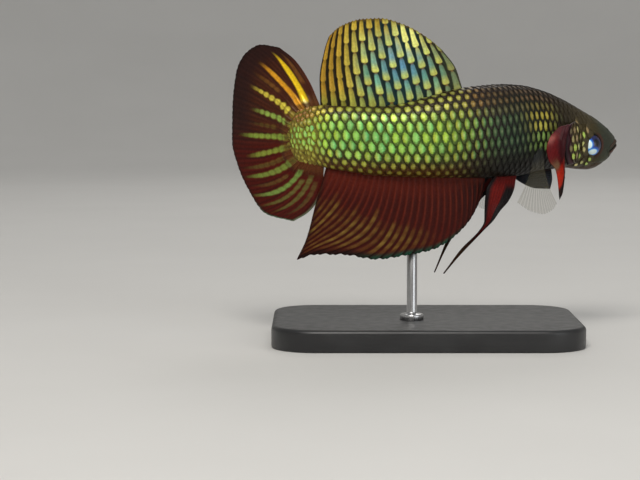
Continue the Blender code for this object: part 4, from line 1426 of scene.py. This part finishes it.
def make_fins():
    """The dorsal, anal and tail fins, and the two pairs of pelvic and pectoral fins."""
    values = dict(Coat_Weight=0.06, Coat_Roughness=0.2, Subsurface_Weight=0.1, Subsurface_Scale=0.0005)
    fin = living_look("fin_membrane", 0.44, 0.3, 0.35, 0.12, 0.012, **values).material
    glassy = living_look("clear_fin", 0.25, 0.25, 0.0, 0.1, 0.008, Coat_Weight=0.1, Coat_Roughness=0.15)
    glassy.feed("Alpha", glassy.value_of("clear"))
    flat = sheet_shape(fork=2.0, width=0.1, tips=0.012)
    full = sheet_shape(width=0.2, fork=0.6)
    tail = sheet_shape(width=0.2, root=1.2, flare=0.3, tips=0.01)
    slim = sheet_shape(fork=2.0, width=0.2, tips=0.0, ripple=0.05, thin=0.16, thick=0.34)
    clear = sheet_shape(thin=0.06, thick=0.2, width=0.16, root=0.4)
    tail_rays = fan_of(TAIL_BRANCHES)
    sheets = [
        ("dorsal", dorsal_surface(), (300, 150), dorsal_ray, flat, paint_dorsal, fin, "dorsal_fin"),
        ("anal", anal_surface(), (337, 120), anal_ray, full, paint_anal, fin, "anal_fin"),
        ("caudal", caudal_surface(), (320, 150), tail_rays, tail, paint_caudal, fin, "caudal_fin"),
    ]
    for side, end in SIDES:
        blade, fan, node = pelvic_surface(side), pectoral_surface(side), f"pectoral_fin_{end}"
        sheets += [
            (f"pelvic_{end}", blade, (41, 150), fan_of(5), slim, paint_pelvic, fin, f"pelvic_fin_{end}"),
            (f"pectoral_{end}", fan, (140, 60), fan_of(15), clear, paint_pectoral, glassy.material, node),
        ]
    for sheet in sheets:
        make_sheet(*sheet)


COVER_LENGTH = 5.4  # from the hinge to the free edge
COVER_ROWS = 5.2  # rows of scales from top to bottom
COVER_SPACING = 1.12  # from scale to scale
COVER_SINK = 0.62  # how deep the hinge is set into the body


def cover_ground(side):
    """The outer face of a gill cover, by the distance from its hinge and the row, from its top down."""
    sheet = gill_cover_surface(side)
    step = 0.01

    def outward(surface, u, v):
        across = surface(u + step, v) - surface(u - step, v)
        return side * unit(np.cross(across, surface(u, v + step) - surface(u, v - step)))

    def raised(u, v):
        lift = COVER_LIFT - COVER_SINK * fade(v, 0, SINK_REACH)
        return sheet(u, v) + outward(sheet, u, v) * lift[..., None]

    def at(along, row):
        u, v = 0.5 - row / COVER_ROWS, along / COVER_LENGTH
        return raised(u, v), outward(raised, u, v)

    return at


def dress_cover(along, row, random, at_along, at_row):
    """Uneven spots, with two bright lime ones low on the middle of the cover."""
    tint, strength = uneven_spots(len(row), random)
    lime = (np.abs(along - 3.2) < 0.4) & (row < 0)
    tint = painted(tint, ((196, 224, 96), lime))
    strength = np.where(lime, 1.0, strength * fade(along, 3.4, 4.4))
    ground = np.broadcast_to(colour(76, 66, 38), (*at_along.shape, 3))
    ground = painted(ground, ((60, 38, 40), smooth(at_along, 3.2, 4.4)))
    return tint, strength, 0.42 + 0.1 * lime, 0.42, 0 * row, ground


def membrane_ray(u, v):
    """Rays that run across, from one side of a gill membrane to the other."""
    return 5 * v + 0.5


def make_gills():
    """The two gill covers with their scales, and the two gill membranes."""
    values = dict(Coat_Weight=0.12, Coat_Roughness=0.2)
    cover = living_look("gill_cover", 0.4, 0.3, 0.15, 0.14, 0.015, **values).material
    values.update(Subsurface_Weight=0.15, Subsurface_Scale=0.0008)
    membrane = living_look("gill_membrane", 0.4, 0.3, 0.1, 0.15, 0.02, **values).material
    columns, rows = np.meshgrid(np.arange(4), np.arange(-2, 2))
    row, column = rows.ravel() + 0.5, columns.ravel() + 0.5 * (rows.ravel() % 2)
    for side, end in SIDES:
        plate = sheet_shape(
            thin=0.3, thick=0.36, tips=0.012, ripple=0.0, pleat=0.0, root=0.9, fork=2.0, width=0.14,
            sink=COVER_SINK, outer=side,
        )
        surface, node = gill_cover_surface(side), f"gill_cover_{end}"
        make_sheet(f"cover_{end}", surface, (90, 70), fan_of(15), plate, paint_gill_cover, cover, node)
        places, spacing = (0.1 + COVER_SPACING * column, row), COVER_SPACING + 0 * row
        ground = cover_ground(side)
        grow_scales(f"cover_scales_{end}", ground, places, (column, row), spacing, dress_cover, 40, side)
    frilled = sheet_shape(thin=0.18, thick=0.36, tips=0.0, ripple=0.12, fork=2.0, width=0.16, root=0.8)
    membranes = [
        ("right", gill_membrane_right_surface(), paint_membrane_right),
        ("left", gill_membrane_left_surface(), paint_membrane_left),
    ]
    for end, surface, paint in membranes:
        name, node = f"membrane_{end}", f"gill_membrane_{end}"
        make_sheet(name, surface, (130, 60), membrane_ray, frilled, paint, membrane, node)


# ---------------------------------------------------------------- eyes


EYE_LOBES = [(-0.64, 0.1, 0.26, 0.44), (-0.2, -0.6, 0.45, 0.29)]  # middle and half sizes, ahead and up


def iris_glow(ahead, up):
    """How far a place on the eye lies from the two lobes of its glow, with 1 on their edges."""
    return np.min([np.hypot((ahead - x) / long, (up - z) / tall) for x, z, long, tall in EYE_LOBES], axis=0)


def make_eye(sign, name):
    """An eyeball with a dark pupil in an electric blue iris, brightest behind and below."""
    centre, forward, outward = eye_axes(sign)
    tilts = np.linspace(0.02, math.pi - 0.02, 65)
    tilt, turn = np.meshgrid(tilts, np.arange(96) * math.pi / 48, indexing="ij")
    share = np.sin(tilt)
    ahead, up = share * np.cos(turn), share * np.sin(turn)
    rise = EYE_DEPTH * np.cos(tilt) + 0.1 * mound(tilt, 0, 0.6)
    points = centre + outward * rise[..., None] + forward * (EYE_RADIUS * ahead)[..., None]
    points[..., 2] += EYE_RADIUS * up
    seen = tilt < math.pi / 2
    radius = np.where(seen, share, 1.2)
    from_pupil = np.where(seen, np.hypot(ahead - 0.1, up - 0.24), 1.2)
    reach = np.where(seen, iris_glow(ahead, up), 2)
    around = smooth(from_pupil, 0.34, 0.46)
    glow = fade(reach, 0.85, 1.25) * around
    iris = smooth(from_pupil, 0.3, 0.4) * fade(radius, 0.88, 0.97)
    tint = painted(
        np.broadcast_to(colour(6, 7, 20), (*tilt.shape, 3)),
        ((10, 24, 76), iris),
        ((16, 84, 196), iris * fade(reach, 1.1, 1.9)),
        ((56, 180, 255), glow),
        ((236, 255, 255), fade(reach, 0.68, 1.05) * around),
        ((96, 28, 32), 0.8 * mound(radius, 0.86, 0.06) * smooth(ahead, 0.2, 0.6) * seen),
    )
    points, faces, uv = tube(points, inside_out=sign > 0)
    look = Look(f"eye_{name}", Coat_Weight=0.45, Coat_Roughness=0.03, Roughness=0.35)
    look.feed("Base Color", look.mottled(look.colour_of("tint"), 0.12, 0.06))
    look.feed("Metallic", look.calculate("MULTIPLY", look.value_of("gleam"), 0.08))
    values = {"tint": ring_values(tint), "gleam": ring_values(glow)}
    add_piece(f"eyeball_{name}", points, faces, uv, values, look.material, (f"eye_{name}",))


# ---------------------------------------------------------------- stand


def rounded_ring(inset, height):
    """A ring of points round the base plate, this far in from its outline."""
    length, width = STAND_SIZE[0] / 2 - inset, STAND_SIZE[1] / 2 - inset
    corner = max(STAND_CORNER - inset, 0.5)
    ring = []
    for quarter, (sign_x, sign_y) in enumerate(((1, 1), (-1, 1), (-1, -1), (1, -1))):
        angles = math.pi / 2 * (quarter + np.linspace(0, 1, 14))
        x = STAND_CENTRE[0] + sign_x * (length - corner) + corner * np.cos(angles)
        y = STAND_CENTRE[1] + sign_y * (width - corner) + corner * np.sin(angles)
        ring += [(*point, height) for point in zip(x, y)]
    return ring


def satin_black():
    """The black paint of the base plate."""
    look = Look("satin_black", Coat_Weight=0.1, Coat_Roughness=0.3)
    shade = look.ranged(look.noise(4.0, 4.0), 0.3, 0.7, 0.0, 1.0)
    look.feed("Base Color", look.mixed(shade, (0.012, 0.012, 0.013, 1), (0.02, 0.02, 0.021, 1)))
    look.feed("Roughness", look.ranged(look.noise(1.5, 5.0), 0.3, 0.7, 0.38, 0.48))
    look.bump(look.noise(0.5, 3.0), 0.012)
    return look.material


def brushed_steel():
    """The steel of the rod, brushed along its length."""
    look = Look("brushed_steel", Metallic=1.0)
    shade = look.noise(2.0, 3.0)
    look.feed("Base Color", look.mixed(shade, (0.5, 0.5, 0.51, 1), (0.62, 0.62, 0.62, 1)))
    stretch = look.node("ShaderNodeMapping", {"Vector": look.coordinates, "Scale": (1.0, 1.0, 0.04)})
    brushed = {"Vector": stretch.outputs[0], "Scale": 9000.0, "Detail": 3.0}
    grain = look.node("ShaderNodeTexNoise", brushed).outputs["Fac"]
    look.feed("Roughness", look.ranged(grain, 0.3, 0.7, 0.22, 0.36))
    look.bump(grain, 0.004)
    return look.material


def make_stand():
    """A base plate with rounded edges, and a rod with a collar at its foot."""
    bottom = STAND_TOP - STAND_SIZE[2]
    edges = [(0.25, bottom), (0.07, bottom + 0.07), (0.0, bottom + 0.25)]
    for turn in np.linspace(0, math.pi / 2, 9):
        edges.append((STAND_EDGE * (1 - math.cos(turn)), STAND_TOP - STAND_EDGE * (1 - math.sin(turn))))
    edges.append((STAND_EDGE + 0.4, STAND_TOP))
    points, faces, uv = tube(np.array([rounded_ring(*edge) for edge in edges]))
    add_piece("base", points, faces, uv, {}, satin_black(), ("stand_base",))

    profile = [(radius, STAND_TOP + z) for radius, z in COLLAR]
    profile += [(ROD_RADIUS, ROD_TOP - 0.2), (0.5, ROD_TOP)]
    rings = [[(r * math.cos(a), r * math.sin(a), z) for a in ROD_ANGLES] for r, z in profile]
    points, faces, uv = tube(np.array(rings) + place(*ROD_PLACE, 0.0))
    add_piece("rod", points, faces, uv, {}, brushed_steel(), ("stand_rod",))


# ---------------------------------------------------------------- studio


def make_floor():
    """A plain pale floor that curves up into a round wall far behind every view."""
    flat, bend, wall = 0.42, 0.3, 0.7
    angle = np.linspace(0.1, math.pi / 2, 16)
    radius = np.concatenate([[0.001, flat], flat + bend * np.sin(angle), [flat + bend]])
    height = np.concatenate([[0, 0], bend * (1 - np.cos(angle)), [wall]])
    turn = np.arange(96) * math.pi / 48
    x, y = np.outer(radius, np.cos(turn)), np.outer(radius, np.sin(turn))
    points = np.stack([x, y, height[:, None] + 0 * turn], axis=-1)
    faces = quads(ring_grid(len(radius), len(turn)))[:, ::-1]
    mesh = bpy.data.meshes.new("floor")
    mesh.from_pydata(points.reshape(-1, 3), [], faces)
    mesh.shade_smooth()
    floor = bpy.data.objects.new("floor", mesh)
    bpy.context.scene.collection.objects.link(floor)
    look = Look("pale_floor", Roughness=0.85)
    look.feed("Base Color", look.mixed(look.noise(30.0), (0.66, 0.65, 0.63, 1), (0.7, 0.69, 0.67, 1)))
    mesh.materials.append(look.material)


def add_light(name, at, towards, size, power, tone):
    """A round soft light."""
    data = bpy.data.lights.new(name, "AREA")
    data.shape, data.size, data.energy, data.color = "DISK", size, power, tone
    light = bpy.data.objects.new(name, data)
    light.location = at
    light.rotation_euler = (Vector(towards) - Vector(at)).to_track_quat("-Z", "Y").to_euler()
    bpy.context.scene.collection.objects.link(light)


CAMERA_DISTANCE = 280.0  # from the middle of the picture, which is the origin of the fish's frame
CAMERA_DOWN = 5.0  # degrees below level
CAMERA_LENS = 116.67


def make_camera():
    """The camera, at the photograph's viewing angle: from the right of the fish, a little above it."""
    data = bpy.data.cameras.new("camera")
    data.lens = CAMERA_LENS
    data.sensor_width = 36.0
    data.clip_start = 0.01
    camera = bpy.data.objects.new("camera", data)
    down = math.radians(CAMERA_DOWN)
    offset = CAMERA_DISTANCE * np.array([0.0, -math.cos(down), math.sin(down)])
    camera.location = (ORIGIN + offset) * MM
    camera.rotation_euler = (math.pi / 2 - down, 0.0, 0.0)
    bpy.context.scene.collection.objects.link(camera)
    bpy.context.scene.camera = camera


def make_studio():
    """The floor, the camera, three lights and a plain pale surrounding."""
    make_floor()
    make_camera()
    target = (ORIGIN + np.array([16.0, 4.0, 13.0])) * MM
    add_light("key", (-0.06, -0.3, 0.36), target, 0.2, 1.3, (1.0, 0.97, 0.92))
    add_light("fill", (0.3, -0.3, 0.12), target, 0.3, 0.35, (0.93, 0.97, 1.0))
    add_light("rim", (0.05, 0.33, 0.3), target, 0.2, 0.26, (1.0, 0.98, 0.95))
    world = bpy.data.worlds.new("studio")
    world.use_nodes = True
    background = world.node_tree.nodes["Background"].inputs
    background["Color"].default_value = (0.86, 0.88, 0.9, 1)
    background["Strength"].default_value = 0.4
    bpy.context.scene.world = world
    bpy.context.scene.view_settings.view_transform = "Standard"


def place_origin():
    """Where the fish frame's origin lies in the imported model, in millimetres, read from the stand."""
    base_low, _ = (np.array(corner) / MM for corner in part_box("stand_base"))
    rod_low, rod_high = (np.array(corner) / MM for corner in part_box("stand_rod"))
    foot = place(*ROD_PLACE, 0.0)
    level = base_low[2] - (STAND_TOP - STAND_SIZE[2])
    middle = (rod_low + rod_high) / 2
    return np.array([middle[0] - foot[0], middle[1] - foot[1], level])


ORIGIN = place_origin()
FLANKS = {1: Flank(1), -1: Flank(-1)}
SCALE_LOOK = make_scale_look()

make_studio()
make_skin()
for side, end in SIDES:
    make_scales(side, end)
    make_cheek(side, end)
    make_eye(side, end)
make_ridge(1, 4.2, 25.6, "ridge_scales_back")
make_ridge(-1, 9.5, 22.3, "ridge_scales_belly")
make_fins()
make_gills()
make_stand()
